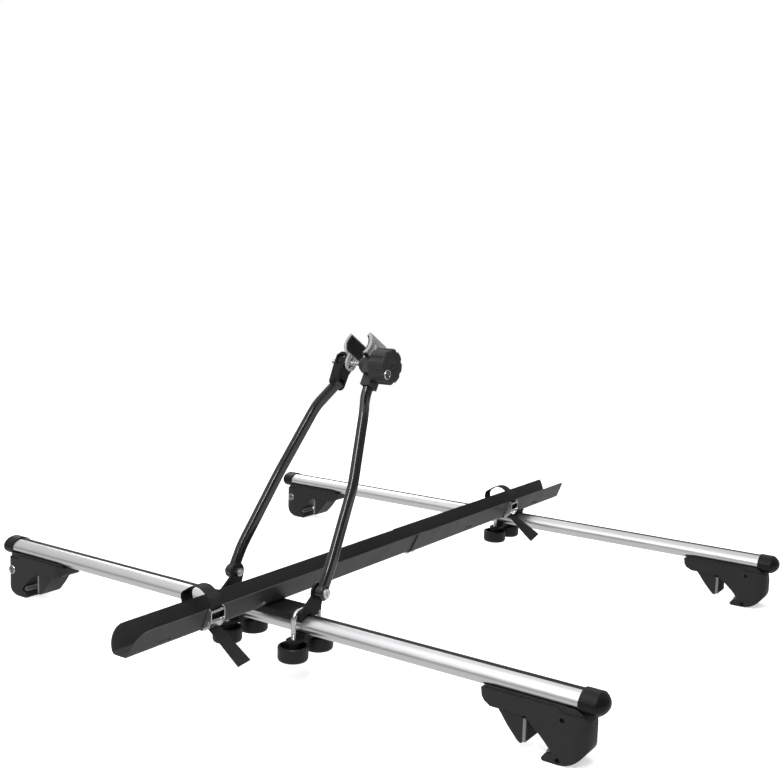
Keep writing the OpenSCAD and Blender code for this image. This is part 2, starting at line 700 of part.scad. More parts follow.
// Arm: two legs bent inwards from the pivots to the clamp head.
module at_head() {
    translate([head_x, tray_y, head_z]) rotate([0, head_lean, 0]) children();
}
function head_point(x, y, z) =
    [head_x + x * cos(head_lean) + z * sin(head_lean), tray_y + y,
        head_z - x * sin(head_lean) + z * cos(head_lean)];
function leg_point(along, y, bow) =
    [pivot_x + along * arm_len * sin(arm_lean) + bow * cos(arm_lean), tray_y + y,
        pivot_z + along * arm_len * cos(arm_lean) - bow * sin(arm_lean)];
function leg_line(side, finish) = concat([
    leg_point(0, side * pivot_offset, 0),
    leg_point(0.11, side * pivot_offset, -1.5),
    leg_point(0.455, side * pivot_offset * 0.84, 4),
    leg_point(0.78, side * pivot_offset * 0.55, 1)], finish);
leg_bend = 16;
collar_low = -40;
housing_low = -20;
module leg(side, finish) {
    difference() {
        union() {
            oval_tube(bent(leg_line(side, finish), leg_bend, 6), tube_w, tube_t);
            bore_y(tube_w + 3, pivot_x, tray_y + side * pivot_offset - tube_t / 2,
                tray_y + side * pivot_offset + tube_t / 2, pivot_z);
            children();
        }
        bore_y(pivot_d + 2 * run_fit, pivot_x, tray_y + side * pivot_offset - tube_t,
            tray_y + side * pivot_offset + tube_t, pivot_z);
    }
}
module near_leg() color("black") leg(-1, [
    head_point(near_top_x, near_top_y, collar_low - leg_bend - 1),
    head_point(near_top_x, near_top_y, housing_low - seat_gap)]);
module far_leg() color("black") difference() {
    leg(1, [head_point(0, claw_pin_y, -claw_reach)])
        at_head() bore_x(tube_t, -tube_w / 2, tube_w / 2, claw_pin_y, -claw_reach);
    at_head() bore_x(claw_pin_d + seat_gap, -tube_w, tube_w, claw_pin_y, -claw_reach);
}

// Frame clamp, drawn in the leaning frame of the head with the screw along Y.
module sector(r0, r1, a0, a1) {
    far = 3 * r1;
    mid = (a0 + a1) / 2;
    intersection() {
        difference() {
            circle(r = r1);
            circle(r = r0);
        }
        polygon([[0, 0], far * [cos(a0), sin(a0)], far * [cos(mid), sin(mid)],
            far * [cos(a1), sin(a1)]]);
    }
}
module head_profile(x0, x1) {
    translate([x0, 0, 0]) rotate([90, 0, 90]) linear_extrude(x1 - x0) children();
}
jaw_x0 = -0.42 * jaw_len;
jaw_x1 = 0.58 * jaw_len;
near_sector = [128, 228];
far_sector = [-46, 40];
near_plate = 6;
far_plate = 5;
collar_wall = 3;
tab_y = 9;
tab_t = 5.5;
tab_low = 14;
module around_grip() {
    translate([grip_y, grip_z]) children();
}
module clamp_housing() color("gray") at_head() difference() {
    back = grip_y - jaw_r - near_plate;
    union() {
        head_profile(jaw_x0, jaw_x1) around_grip()
            sector(jaw_r, jaw_r + near_plate, near_sector[0], near_sector[1]);
        bore_y(2 * hub_r, 0, housing_back, -15, 0);
        head_profile(-hub_r, hub_r) polygon([[housing_back, 0], [-17, 0], [-21, 8], [-28, 12],
            [back + 2, grip_z - 4], [back + 1, grip_z + 4], [back - 3, grip_z + 4],
            [housing_back + 2, grip_z - 14]]);
        block(-hub_r, near_top_x + hub_r, housing_back, near_top_y + tube_t / 2 + collar_wall,
            housing_low, 0);
        block(near_top_x - tube_w / 2 - collar_wall, near_top_x + tube_w / 2 + collar_wall,
            housing_back, near_top_y + tube_t / 2 + collar_wall, collar_low, housing_low + 1);
    }
    translate([0, grip_y, grip_z]) bore_x(2 * jaw_r, -jaw_len, jaw_len, 0, 0);
    block(near_top_x - tube_w / 2 - seat_gap, near_top_x + tube_w / 2 + seat_gap,
        near_top_y - tube_t / 2 - seat_gap, near_top_y + tube_t / 2 + seat_gap,
        collar_low - 1, housing_low);
    bore_y(screw_d + 2 * run_fit, 0, 2 * knob_y, 0, 0);
}
module near_jaw_pad() color("dimgray") at_head() head_profile(jaw_x0 + 1, jaw_x1 - 1) around_grip()
    sector(grip_r, jaw_r - seat_gap / 2, near_sector[0] + 3, near_sector[1] - 6);
module screw_slot() {
    block(-screw_d / 2 - slide_gap, screw_d / 2 + slide_gap, 0, 2 * claw_pin_y, -11, 13.5);
}
module far_claw() color("gray") at_head() difference() {
    union() {
        head_profile(jaw_x0, jaw_x1) around_grip()
            sector(jaw_r, jaw_r + far_plate, far_sector[0], far_sector[1]);
        block(-claw_half, claw_half, tab_y, tab_y + tab_t, 0, tab_low);
        bore_y(2 * claw_half, 0, tab_y, tab_y + tab_t, 0);
    }
    translate([0, grip_y, grip_z]) bore_x(2 * jaw_r, -jaw_len, jaw_len, 0, 0);
    screw_slot();
}
module claw_link() color("dimgray") at_head() difference() {
    face = tab_y + tab_t + seat_gap / 2;
    head_profile(-claw_half, claw_half) union() {
        polygon([[face, 8], [face, -8], [claw_pin_y - 8, -18], [claw_pin_y - 8, -claw_reach],
            [claw_pin_y + 8, -claw_reach], [claw_pin_y + 11, -8], [claw_pin_y + 11, 8],
            [claw_pin_y + 3, 15], [face + 6, 15]]);
        translate([claw_pin_y, -claw_reach]) circle(r = 8);
    }
    block(-tube_w / 2 - slide_gap, tube_w / 2 + slide_gap, 0, 2 * claw_pin_y,
        -2 * claw_reach, -claw_reach + tube_t / 2 + 2);
    for (z = [-nut_float, nut_float])
        bore_x(nut_d + 2 * nut_play, -claw_half - 1, claw_half + 1, claw_pin_y, z);
    block(-claw_half - 1, claw_half + 1, claw_pin_y - nut_d / 2 - nut_play,
        claw_pin_y + nut_d / 2 + nut_play, -nut_float, nut_float);
    screw_slot();
    bore_x(claw_pin_d + 2 * run_fit, -claw_half - 1, claw_half + 1, claw_pin_y, -claw_reach);
}
module far_jaw_pad() color("dimgray") at_head() head_profile(jaw_x0 + 1, jaw_x1 - 1) around_grip()
    sector(grip_r, jaw_r - seat_gap / 2, far_sector[0] + 6, far_sector[1] - 3);
module claw_pin() color("silver") at_head() {
    bore_x(claw_pin_d, -claw_half - 2, claw_half + 2, claw_pin_y, -claw_reach);
    for (x = [-claw_half - 2 - slide_gap, claw_half + slide_gap])
        bore_x(claw_pin_d + 4, x, x + 2, claw_pin_y, -claw_reach);
}
module barrel_nut() color("silver") at_head() difference() {
    bore_x(nut_d, -nut_len / 2, nut_len / 2, claw_pin_y, 0);
    bore_y(screw_d + 2 * run_fit, 0, claw_pin_y - nut_d, claw_pin_y + nut_d, 0);
}
module clamp_screw() color("silver") at_head()
    bore_y(screw_d, 0, screw_head_y, claw_pin_y + 26, 0);
module clamp_knob() color("dimgray") at_head() difference() {
    lobes = 8;
    scoop_r = 9;
    scoop_in = 2.5;
    lid = 1.5;
    union() {
        along_y(0, knob_y, 0) linear_extrude(knob_len - lid) difference() {
            circle(d = knob_d);
            for (a = [0:360 / lobes:359]) rotate(a) translate([knob_d / 2 + scoop_r - scoop_in, 0])
                circle(r = scoop_r);
        }
        along_y(0, knob_y - knob_len + lid, 0)
            cylinder(r1 = knob_d / 2 - scoop_in, r2 = knob_d / 2 - scoop_in - lid, h = lid);
    }
    bore_y(screw_d + seat_gap, 0, screw_head_y - seat_gap, knob_y + 1, 0);
    bore_y(lock_d + 2 * run_fit, lock_x, knob_y - knob_len - 1,
        knob_y - knob_len + lock_depth, lock_z);
}
module clamp_lock() color("silver") at_head() difference() {
    bore_y(lock_d, lock_x, knob_y - knob_len - lock_proud,
        knob_y - knob_len + lock_depth - slide_gap, lock_z);
    block(lock_x - key_slot_w / 2, lock_x + key_slot_w / 2, knob_y - 2 * knob_len,
        knob_y - knob_len + key_slot_depth, lock_z - key_slot_half, lock_z + key_slot_half);
}

// Wheel straps with cam buckles on the near wall. The buckle is drawn flat on the wall:
// X along the tray, Y away from the wall, Z up the wall from its middle.
module at_buckle(x, o) {
    y = -(corner_y(o) + top_y(o)) / 2;
    translate([x, tray_y + y, floor_z + (wall_h - o) / 2]) rotate([wall_tilt, 0, 0])
        mirror([0, 1, 0]) children();
}
function wall_point(o, n, w) = let (y = (corner_y(o) + top_y(o)) / 2)
    [-y - n * cos(wall_tilt) - w * sin(wall_tilt),
        (wall_h - o) / 2 - n * sin(wall_tilt) + w * cos(wall_tilt)];
function mirrored(p) = [-p[0], p[1]];
module strap_loop(o) {
    n = strap_t / 2 + seat_gap;
    lift = wall_h / 2 + 6;
    path = [
        wall_point(o, 9, -11) - tail_len * [cos(tail_dip), sin(tail_dip)],
        wall_point(o, 9, -11),
        wall_point(o, n + 0.6, -2),
        wall_point(o, n, 14),
        wall_point(o, n, lift),
        [-0.55 * tray_w, strap_top - 16],
        [-8, strap_top - strap_t / 2],
        [8, strap_top - strap_t / 2],
        [0.55 * tray_w, strap_top - 16],
        mirrored(wall_point(o, n, lift)),
        mirrored(wall_point(o, n, 0)),
        [corner_y(o + n), -o - n],
        [-corner_y(o + n), -o - n],
        wall_point(o, n, -12)];
    ribbon(bent(path, 3.5, 3), strap_t);
}
module strap(x, o) {
    translate([x - strap_w / 2, tray_y, floor_z]) rotate([90, 0, 90])
        linear_extrude(strap_w) strap_loop(o);
}
module front_strap() color("black") strap(strap_front, 0);
module rear_strap() color("black") strap(strap_rear, rear_drop);
buckle_n = 8;
lever_boss = 8;
lever_reach = 9;
lower_bar = [4.6, -13.5];
upper_bar = [5.4, 17];
module buckle_frame(x, o) {
    at_buckle(x, o) difference() {
        union() {
            for (s = [-1, 1]) translate([s * (buckle_half + buckle_plate / 2) - buckle_plate / 2, 0, 0])
                rotate([90, 0, 90]) linear_extrude(buckle_plate)
                polygon([[0.6, -0.7 * buckle_h], [0.38 * buckle_d, -0.8 * buckle_h],
                    [0.7 * buckle_d, -0.57 * buckle_h], [buckle_d, -0.14 * buckle_h],
                    [buckle_d, 0.19 * buckle_h], [0.62 * buckle_d, 0.86 * buckle_h],
                    [0.38 * buckle_d, buckle_h], [0.6, buckle_h]]);
            bore_x(buckle_pin_d, -buckle_half - 0.5, buckle_half + 0.5, lower_bar[0], lower_bar[1]);
            bore_x(buckle_pin_d, -buckle_half - 0.5, buckle_half + 0.5, upper_bar[0], upper_bar[1]);
        }
        bore_x(buckle_pin_d + seat_gap, -strap_w, strap_w, buckle_n, 0);
    }
}
module buckle_frames() color("silver") {
    buckle_frame(strap_front, 0);
    buckle_frame(strap_rear, rear_drop);
}
module buckle_pin(x, o) {
    at_buckle(x, o) bore_x(buckle_pin_d, -buckle_half - buckle_plate - 0.6,
        buckle_half + buckle_plate + 0.6, buckle_n, 0);
}
module buckle_pins() color("silver") {
    buckle_pin(strap_front, 0);
    buckle_pin(strap_rear, rear_drop);
}
module buckle_lever(x, o) {
    half = buckle_half - slide_gap;
    at_buckle(x, o) color("silver") difference() {
        union() {
            bore_x(lever_boss, -half, half, buckle_n, 0);
            block(-half, half, buckle_n + 1, buckle_n + lever_boss / 2, -lever_reach, 0);
        }
        bore_x(buckle_pin_d + 2 * run_fit, -strap_w, strap_w, buckle_n, 0);
    }
}
module lever_front() buckle_lever(strap_front, 0);
module lever_rear() buckle_lever(strap_rear, rear_drop);

front_tray();
rear_tray();
tray_bolts();
base_bracket();
bracket_pad();
rear_plate();
rear_saddle();
u_bolts();
pivot_bolts();
front_strap();
rear_strap();
buckle_frames();
buckle_pins();
front_bar();
rear_bar();
bar_strips();
bar_end_caps();
near_leg();
far_leg();
clamp_housing();
near_jaw_pad();
claw_pin();
far_claw();
claw_link();
far_jaw_pad();
barrel_nut();
clamp_knob();
clamp_screw();
clamp_lock();
lever_front();
lever_rear();
plate_near();
plate_far();
plate_rear();
knob_near_a();
knob_near_b();
knob_far_a();
knob_far_b();
knob_rear_a();
knob_rear_b();
foot_fn();
foot_ff();
foot_rn();
foot_rf();
jaw_fn();
jaw_ff();
jaw_rn();
jaw_rf();
jaw_pad_fn();
jaw_pad_ff();
jaw_pad_rn();
jaw_pad_rf();
hook_pad_fn();
hook_pad_ff();
hook_pad_rn();
hook_pad_rf();
lock_fn();
lock_ff();
lock_rn();
lock_rf();
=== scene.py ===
# %% [markdown]
# # A roof mounted bike carrier, dressed in Blender
# The packed CAD model already has every rigid piece in its right place, so the script starts by
# loading it as a fixed frame. Everything made later is measured from this frame, in metres.

# %% Load the packed frame
import json

import bpy
import numpy as np
from mathutils import Matrix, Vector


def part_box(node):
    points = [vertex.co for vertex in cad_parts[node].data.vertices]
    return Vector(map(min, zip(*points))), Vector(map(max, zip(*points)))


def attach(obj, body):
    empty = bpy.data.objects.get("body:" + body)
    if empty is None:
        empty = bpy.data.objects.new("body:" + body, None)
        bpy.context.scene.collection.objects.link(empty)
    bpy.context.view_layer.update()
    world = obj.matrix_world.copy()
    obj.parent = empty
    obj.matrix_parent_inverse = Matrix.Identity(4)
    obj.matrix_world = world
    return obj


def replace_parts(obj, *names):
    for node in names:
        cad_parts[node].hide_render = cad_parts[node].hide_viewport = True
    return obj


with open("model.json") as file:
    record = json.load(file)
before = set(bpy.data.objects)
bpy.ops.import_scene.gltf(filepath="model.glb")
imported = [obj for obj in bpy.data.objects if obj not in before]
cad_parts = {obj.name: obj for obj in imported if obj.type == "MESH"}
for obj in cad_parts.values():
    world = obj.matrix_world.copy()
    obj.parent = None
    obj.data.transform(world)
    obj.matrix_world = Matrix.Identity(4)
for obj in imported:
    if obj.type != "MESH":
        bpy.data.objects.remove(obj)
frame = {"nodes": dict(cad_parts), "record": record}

MM = 0.001
X_AXIS, Y_AXIS, Z_AXIS = np.eye(3)
nodes = frame["nodes"]
joints = {row["name"]: row for row in frame["record"]["behaviour"]["joints"]}
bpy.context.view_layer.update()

# %% [markdown]
# ## The camera
# A picture is matched by standing where the photographer stood. The place and the three turns come
# from lining up straight edges of the bars and the tray. The three axes of the camera are written
# as columns of a matrix, which is easier to check than three rotation angles.

# %% Camera at the photographer's place
CAMERA_AT = (-1.69852, -1.16673, 0.68516)
CAMERA_AZIMUTH, CAMERA_PITCH, CAMERA_ROLL = -55.9705, 6.6748, 1.7054
FOCAL_PX, IMAGE_W, SENSOR_MM, CLIP_START = 1071.221, 781, 36.0, 0.02


def camera_axes(azimuth, pitch, roll):
    """Right, up and back of a camera on a sphere round the object: back points at the camera from
    its target, right is level, up is their cross product, and roll turns right and up about
    back."""
    a, e, r = np.radians([azimuth, pitch, roll])
    back = np.array([np.sin(a) * np.cos(e), -np.cos(a) * np.cos(e), np.sin(e)])
    level = np.array([np.cos(a), np.sin(a), 0.0])
    upright = np.cross(back, level)
    right = level * np.cos(r) + upright * np.sin(r)
    return right, upright * np.cos(r) - level * np.sin(r), back


def aim(eye, axes):
    """World matrix with the three axes as its columns and the eye as its place."""
    m = np.eye(4)
    m[:3, :3] = np.column_stack(axes)
    m[:3, 3] = eye
    return Matrix(m.tolist())


scene = bpy.context.scene
camera = bpy.data.objects.new("camera", bpy.data.cameras.new("camera"))
scene.collection.objects.link(camera)
camera.data.sensor_width = SENSOR_MM
camera.data.lens = FOCAL_PX * SENSOR_MM / IMAGE_W
camera.data.clip_start = CLIP_START
camera.matrix_world = aim(CAMERA_AT, camera_axes(CAMERA_AZIMUTH, CAMERA_PITCH, CAMERA_ROLL))
scene.camera = camera
print(f"lens {camera.data.lens:.2f} mm")

# %% [markdown]
# ## Surfaces from arrays
# Every new piece is a grid of points: two numbers, u and v, run over the grid and a formula turns
# them into a place in space. One helper turns any such grid into a mesh, closes it where it meets
# itself and lays a UV map on it, so the pieces below only hold their formula. It starts with the
# numbers of each face's corners.

# %% Faces of a grid
def grid_faces(rows, columns, wrap_rows, wrap_columns):
    """Corner numbers of the quads between neighbours of a rows x columns grid. A wrapped side joins
    its last line to its first."""
    r = np.arange(rows if wrap_rows else rows - 1)[:, None]
    c = np.arange(columns if wrap_columns else columns - 1)[None, :]
    r2, c2 = (r + 1) % rows, (c + 1) % columns
    quads = [r * columns + c, r * columns + c2, r2 * columns + c2, r2 * columns + c]
    return np.stack(np.broadcast_arrays(*quads), -1).reshape(-1, 4)


def plain_uv(rows, columns):
    """Both parameters from 0 to 1 over the grid."""
    return np.stack(np.meshgrid(np.linspace(0, 1, rows), np.linspace(0, 1, columns),
                                indexing="ij"), -1)


print("grid helper ready:", len(grid_faces(4, 5, True, False)), "quads in a 4 x 5 ring")

# %% [markdown]
# A piece is often more than one grid: a tube and its boss, or a cup and its ribs. So a small class
# collects grids and builds one object from them. A closed mesh can be inside out, which shows as a
# negative volume, and then its faces are flipped.

# %% Grids to a mesh
class Surface:
    """Grids of points that together make one mesh, with a UV for each corner of each face."""

    def __init__(self):
        self.points, self.faces, self.uvs, self.count = [], [], [], 0

    def face(self, ring, flat_uv):
        """Adds one face of many corners, numbered within the grid that comes next."""
        self.faces.append((ring + self.count).tolist())
        self.uvs.append(flat_uv[ring])

    def grid(self, points, wrap_rows=False, wrap_columns=False, uv=None, caps=False, back=False):
        """Adds a grid of shape (rows, columns, 3). caps closes its first and last row with a face
        each, and back closes an unwrapped grid with one face round its rim."""
        rows, columns = points.shape[:2]
        quads = grid_faces(rows, columns, wrap_rows, wrap_columns)
        flat_uv = (plain_uv(rows, columns) if uv is None else uv).reshape(-1, 2)
        self.faces += (quads + self.count).tolist()
        self.uvs.append(flat_uv[quads].reshape(-1, 2))
        line = np.arange(columns)
        last = (rows - 1) * columns
        if caps:
            self.face(line[::-1], flat_uv)
            self.face(line + last, flat_uv)
        if back:
            side = np.arange(1, rows - 1) * columns
            rim = np.concatenate([line, side + columns - 1, (line + last)[::-1], side[::-1]])
            self.face(rim[::-1], flat_uv)
        self.points.append(points.reshape(-1, 3))
        self.count += rows * columns
        return self

    def build(self, name, finish, body, slot, smooth=True):
        """Makes the Blender object, turns its faces outwards by the sign of the volume inside,
        gives it its finish and lets it ride on a CAD body."""
        mesh = bpy.data.meshes.new(name)
        mesh.from_pydata(np.concatenate(self.points).tolist(), [], self.faces)
        layer = mesh.uv_layers.new(name="along_and_across")
        layer.data.foreach_set("uv", np.concatenate(self.uvs).ravel().astype(np.float32))
        mesh.polygons.foreach_set("use_smooth", np.full(len(mesh.polygons), smooth))
        if inside_volume(mesh) < 0:
            mesh.flip_normals()
        mesh.update()
        piece = bpy.data.objects.new(name, mesh)
        scene.collection.objects.link(piece)
        mesh.materials.append(finish)
        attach(piece, body)
        return piece


def inside_volume(mesh):
    """Sum over the triangles of a closed mesh of the signed tetrahedra to the mesh's middle."""
    mesh.calc_loop_triangles()
    corner = np.empty(3 * len(mesh.loop_triangles), np.int32)
    place = np.empty(3 * len(mesh.vertices), np.float32)
    mesh.loop_triangles.foreach_get("vertices", corner)
    mesh.vertices.foreach_get("co", place)
    place = place.reshape(-1, 3).astype(float)
    a, b, c = (place - place.mean(0))[corner.reshape(-1, 3)].transpose(1, 0, 2)
    return float((a * np.cross(b, c)).sum() / 6)


print("surface helper ready:", [word for word in vars(Surface) if word[0] != "_"])

# %% [markdown]
# Three ways of filling a grid serve almost every piece of this carrier: a section carried along a
# path, a profile turned round an axis, and a path whose corners are eased into bends as a tube
# bender or a stiff strap would make them.

# %% Paths, sweeps and turned shapes
def unit(v):
    """Vectors divided by their length."""
    return v / np.linalg.norm(v, axis=-1, keepdims=True)


def bent(path, reach, steps):
    """A path whose inner corners are parabolas: at a corner v between the points p and q, which lie
    reach away on both sides, the place is p(1-t)^2 + 2vt(1-t) + qt^2. reach is one number, or one
    for each inner corner."""
    path = np.asarray(path, float)
    reach = np.broadcast_to(reach, len(path) - 2).reshape(-1, 1, 1)
    v = path[1:-1, None]
    p = v + unit(path[:-2] - path[1:-1])[:, None] * reach
    q = v + unit(path[2:] - path[1:-1])[:, None] * reach
    t = np.linspace(0, 1, steps + 1)[None, :, None]
    arcs = p * (1 - t) ** 2 + v * 2 * t * (1 - t) + q * t ** 2
    return np.concatenate([path[:1], arcs.reshape(-1, path.shape[1]), path[-1:]])


def resampled(path, step):
    """The same path with its points an even step apart, and the distance run at each of them."""
    run = np.concatenate([[0.0], np.cumsum(np.linalg.norm(np.diff(path, axis=0), axis=1))])
    at = np.linspace(0, run[-1], int(np.ceil(run[-1] / step)) + 1)
    return np.stack([np.interp(at, run, column) for column in path.T], -1), at


def sweep(path, ring, hint):
    """Carries the ring's (side, up) points along the path: side is square to the hint and the
    path's direction, and up is square to both. ring may differ from row to row."""
    along = unit(np.gradient(path, axis=0))
    side = unit(np.cross(hint, along))
    up = np.cross(along, side)
    ring = np.broadcast_to(ring, (len(path),) + np.shape(ring)[-2:])
    return path[:, None] + side[:, None] * ring[..., :1] + up[:, None] * ring[..., 1:]


ANY_SIDE = (0.31, 0.52, 0.79)


def turned(profile, centre, axis, columns, start=ANY_SIDE):
    """Turns (along, radius) points round an axis through centre: the place is centre + along * axis
    + radius * (cos a, sin a) in the plane square to the axis, with angle 0 on the side of start.
    radius may also vary with the angle."""
    axis = unit(np.asarray(axis, float))
    start = np.asarray(start, float)
    first = unit(start - axis * (start @ axis))
    angle = np.linspace(0, 2 * np.pi, columns, endpoint=False)
    spoke = np.cos(angle)[:, None] * first + np.sin(angle)[:, None] * np.cross(axis, first)
    along, radius = profile[..., 0], profile[..., 1]
    if along.ndim == 1:
        along, radius = along[:, None], radius[:, None]
    return np.asarray(centre) + along[..., None] * axis + radius[..., None] * spoke[None]


def rounded(points, reach, steps=4):
    """A profile in millimetres with its corners eased, in metres."""
    return bent(np.array(points, float), reach, steps) * MM


print("a bend of four steps has", len(bent([[0, 0], [1, 0], [1, 1]], 0.2, 4)), "points")

# %% [markdown]
# ## Floor and light
# The carrier stands on a pale studio floor under plain soft light. A white surround lights black
# paint evenly, three large softboxes give the long highlights on the bars, and a narrow strip draws
# a thin bright line along the legs.

# %% Studio
FLOOR_HALF, FLOOR_DROP = 2.2, 0.0002


def studio_floor():
    """A flat square of two by two corners just under the soles."""
    x, y = np.meshgrid([-FLOOR_HALF, FLOOR_HALF], [-FLOOR_HALF, FLOOR_HALF], indexing="ij")
    mesh = bpy.data.meshes.new("studio_floor")
    points = np.stack([x, y, np.full_like(x, -FLOOR_DROP)], -1).reshape(-1, 3)
    mesh.from_pydata(points.tolist(), [], grid_faces(2, 2, False, False)[:, ::-1].tolist())
    floor = bpy.data.objects.new("studio_floor", mesh)
    scene.collection.objects.link(floor)
    return floor


def softbox(name, centre, target, size, watts, mirrored=True):
    """A rectangular area light at centre that faces target. It may be left out of reflections."""
    light = bpy.data.lights.new(name, "AREA")
    light.shape = "RECTANGLE"
    light.size, light.size_y = size
    light.energy = watts
    lamp = bpy.data.objects.new(name, light)
    scene.collection.objects.link(lamp)
    lamp.visible_glossy = mirrored
    back = unit(np.array(centre) - np.array(target))
    right = unit(np.cross(Z_AXIS, back))
    lamp.matrix_world = aim(centre, (right, np.cross(back, right), back))


floor = studio_floor()
softbox("softbox_over", (-0.8, 0.1, 2.6), (0.1, 0.0, 0.1), (2.6, 1.6), 12)
softbox("softbox_front", (-2.6, 0.6, 1.5), (0.0, 0.0, 0.2), (1.8, 1.2), 13, mirrored=False)
softbox("softbox_back", (1.6, 2.2, 1.9), (0.0, 0.0, 0.2), (2.0, 1.0), 22)
softbox("softbox_strip", (-1.22, -0.66, 1.6), (-0.25, -0.06, 0.35), (0.24, 1.3), 19)
print("floor, three softboxes and a strip")

# %% [markdown]
# The surround does three jobs at once, and the Light Path node tells them apart. Straight at the
# camera it is plain white. For the soft light it is a white tent, weaker on the near side. In
# reflections it is bright overhead and dim at the horizon, as with black flags round a table top,
# so that black paint stays black and the bars show a clear band.

# %% Surround
TENT_NEAR, TENT_FAR, TENT_FROM_Y, TENT_TO_Y = 0.30, 1.0, -0.9, 0.1
FLAG_LOW, FLAG_HIGH, FLAG_FROM_Z, FLAG_TO_Z = 0.25, 0.90, 0.05, 0.75
WHITE = (1.0, 1.0, 1.0, 1.0)


def node(tree, kind, inputs=None, **settings):
    """Adds one shader node. A socket given as an input is linked, and any other value is set."""
    made = tree.nodes.new(kind)
    for key, value in settings.items():
        setattr(made, key, value)
    for key, value in (inputs or {}).items():
        if isinstance(value, bpy.types.NodeSocket):
            tree.links.new(value, made.inputs[key])
        else:
            made.inputs[key].default_value = value
    return made


world = bpy.data.worlds.new("white_surround")
world.use_nodes = True
scene.world = world
sky = world.node_tree
sky.nodes.clear()
heading = node(sky, "ShaderNodeSeparateXYZ",
               {"Vector": node(sky, "ShaderNodeTexCoord").outputs["Generated"]})
flags = node(sky, "ShaderNodeMapRange", {
    "Value": heading.outputs["Z"], "From Min": FLAG_FROM_Z, "From Max": FLAG_TO_Z,
    "To Min": FLAG_LOW, "To Max": FLAG_HIGH})
tent = node(sky, "ShaderNodeMapRange", {
    "Value": heading.outputs["Y"], "From Min": TENT_FROM_Y, "From Max": TENT_TO_Y,
    "To Min": TENT_NEAR, "To Max": TENT_FAR})
shaded = node(sky, "ShaderNodeMath", {0: flags.outputs["Result"], 1: tent.outputs["Result"]},
              operation="MULTIPLY")
rays = node(sky, "ShaderNodeLightPath")


def surround(strength):
    """White light of the given strength."""
    return node(sky, "ShaderNodeBackground", {"Color": WHITE, "Strength": strength}).outputs[0]


lit_or_mirrored = node(sky, "ShaderNodeMixShader", {
    0: rays.outputs["Is Glossy Ray"], 1: surround(tent.outputs["Result"]),
    2: surround(shaded.outputs["Value"])})
mixed = node(sky, "ShaderNodeMixShader", {
    0: rays.outputs["Is Camera Ray"], 1: lit_or_mirrored.outputs[0], 2: surround(1.0)})
node(sky, "ShaderNodeOutputWorld", {"Surface": mixed.outputs["Shader"]})
scene.view_settings.view_transform = "Standard"
print("reflected surround from", FLAG_LOW, "to", FLAG_HIGH)

# %% [markdown]
# ## Finishes
# One helper makes a finish: two close tones mixed by a cloudy noise, a roughness that drifts by the
# same noise, and a fine bump. All of it reads Object coordinates, so the grain has a real size on
# every piece. What differs between paint, plastic, rubber and metal is the size of the grain and
# the two or three numbers set straight on the shader.

# %% Shared recipe
CLOUD_DETAIL, CLOUD_LOW, CLOUD_HIGH, GRAIN_DETAIL = 4.0, 0.3, 0.7, 3.0


def cloudy_finish(name, dark, light, rough, grain, relief, cloud=0.05, stretch=(1, 1, 1),
                  metal=0.0, **constants):
    """A material whose colour runs from dark to light and whose roughness runs over the pair rough
    with a noise of size cloud, and whose bump is a noise of size grain and height relief, in
    metres. stretch lengthens the grain along an axis. constants are set on the shader's own
    sockets."""
    made = bpy.data.materials.new(name)
    made.use_nodes = True
    tree = made.node_tree
    shader = tree.nodes["Principled BSDF"]
    place = node(tree, "ShaderNodeTexCoord").outputs["Object"]
    clouds = node(tree, "ShaderNodeTexNoise", {
        "Vector": place, "Scale": 1 / cloud, "Detail": CLOUD_DETAIL})
    tone = node(tree, "ShaderNodeMixRGB", {
        "Fac": clouds.outputs["Fac"], "Color1": (*dark, 1.0), "Color2": (*light, 1.0)})
    drift = node(tree, "ShaderNodeMapRange", {
        "Value": clouds.outputs["Fac"], "From Min": CLOUD_LOW, "From Max": CLOUD_HIGH,
        "To Min": rough[0], "To Max": rough[1]})
    lengthened = node(tree, "ShaderNodeMapping", {
        "Vector": place, "Scale": tuple(1 / s for s in stretch)})
    fine = node(tree, "ShaderNodeTexNoise", {
        "Vector": lengthened.outputs["Vector"], "Scale": 1 / grain, "Detail": GRAIN_DETAIL})
    bump = node(tree, "ShaderNodeBump", {
        "Height": fine.outputs["Fac"], "Strength": 1.0, "Distance": relief})
    tree.links.new(tone.outputs["Color"], shader.inputs["Base Color"])
    tree.links.new(drift.outputs["Result"], shader.inputs["Roughness"])
    tree.links.new(bump.outputs["Normal"], shader.inputs["Normal"])
    shader.inputs["Metallic"].default_value = metal
    for socket, value in constants.items():
        shader.inputs[socket.replace("_", " ")].default_value = value
    return made


def grey(value):
    """The same number for red, green and blue."""
    return (value, value, value)


FLOOR_GLOW, FLOOR_MIRRORED = 0.50, 0.75


def floor_paper():
    """White paper that glows a little, so that it stays white to its edge, and that reflections
    see as an even grey, as if flags stood on it."""
    paper = cloudy_finish("floor_paper", grey(0.90), grey(0.92), (0.8, 0.9), 0.004, 0.00002,
                          cloud=0.6, Emission_Color=WHITE, Emission_Strength=FLOOR_GLOW)
    tree = paper.node_tree
    dim = node(tree, "ShaderNodeEmission", {"Color": WHITE, "Strength": FLOOR_MIRRORED})
    seen = node(tree, "ShaderNodeMixShader", {
        0: node(tree, "ShaderNodeLightPath").outputs["Is Glossy Ray"],
        1: tree.nodes["Principled BSDF"].outputs["BSDF"], 2: dim.outputs["Emission"]})
    tree.links.new(seen.outputs["Shader"], tree.nodes["Material Output"].inputs["Surface"])
    return paper


floor.data.materials.append(floor_paper())
print("floor paper ready")

# %% [markdown]
# The carrier itself has painted steel, zinc plating, anodised aluminium, moulded plastic and
# rubber. Each row gives the two tones, the roughness from and to, the size of the grain and the
# height of its relief. The bars' grain is drawn out along them, as an extrusion's is.

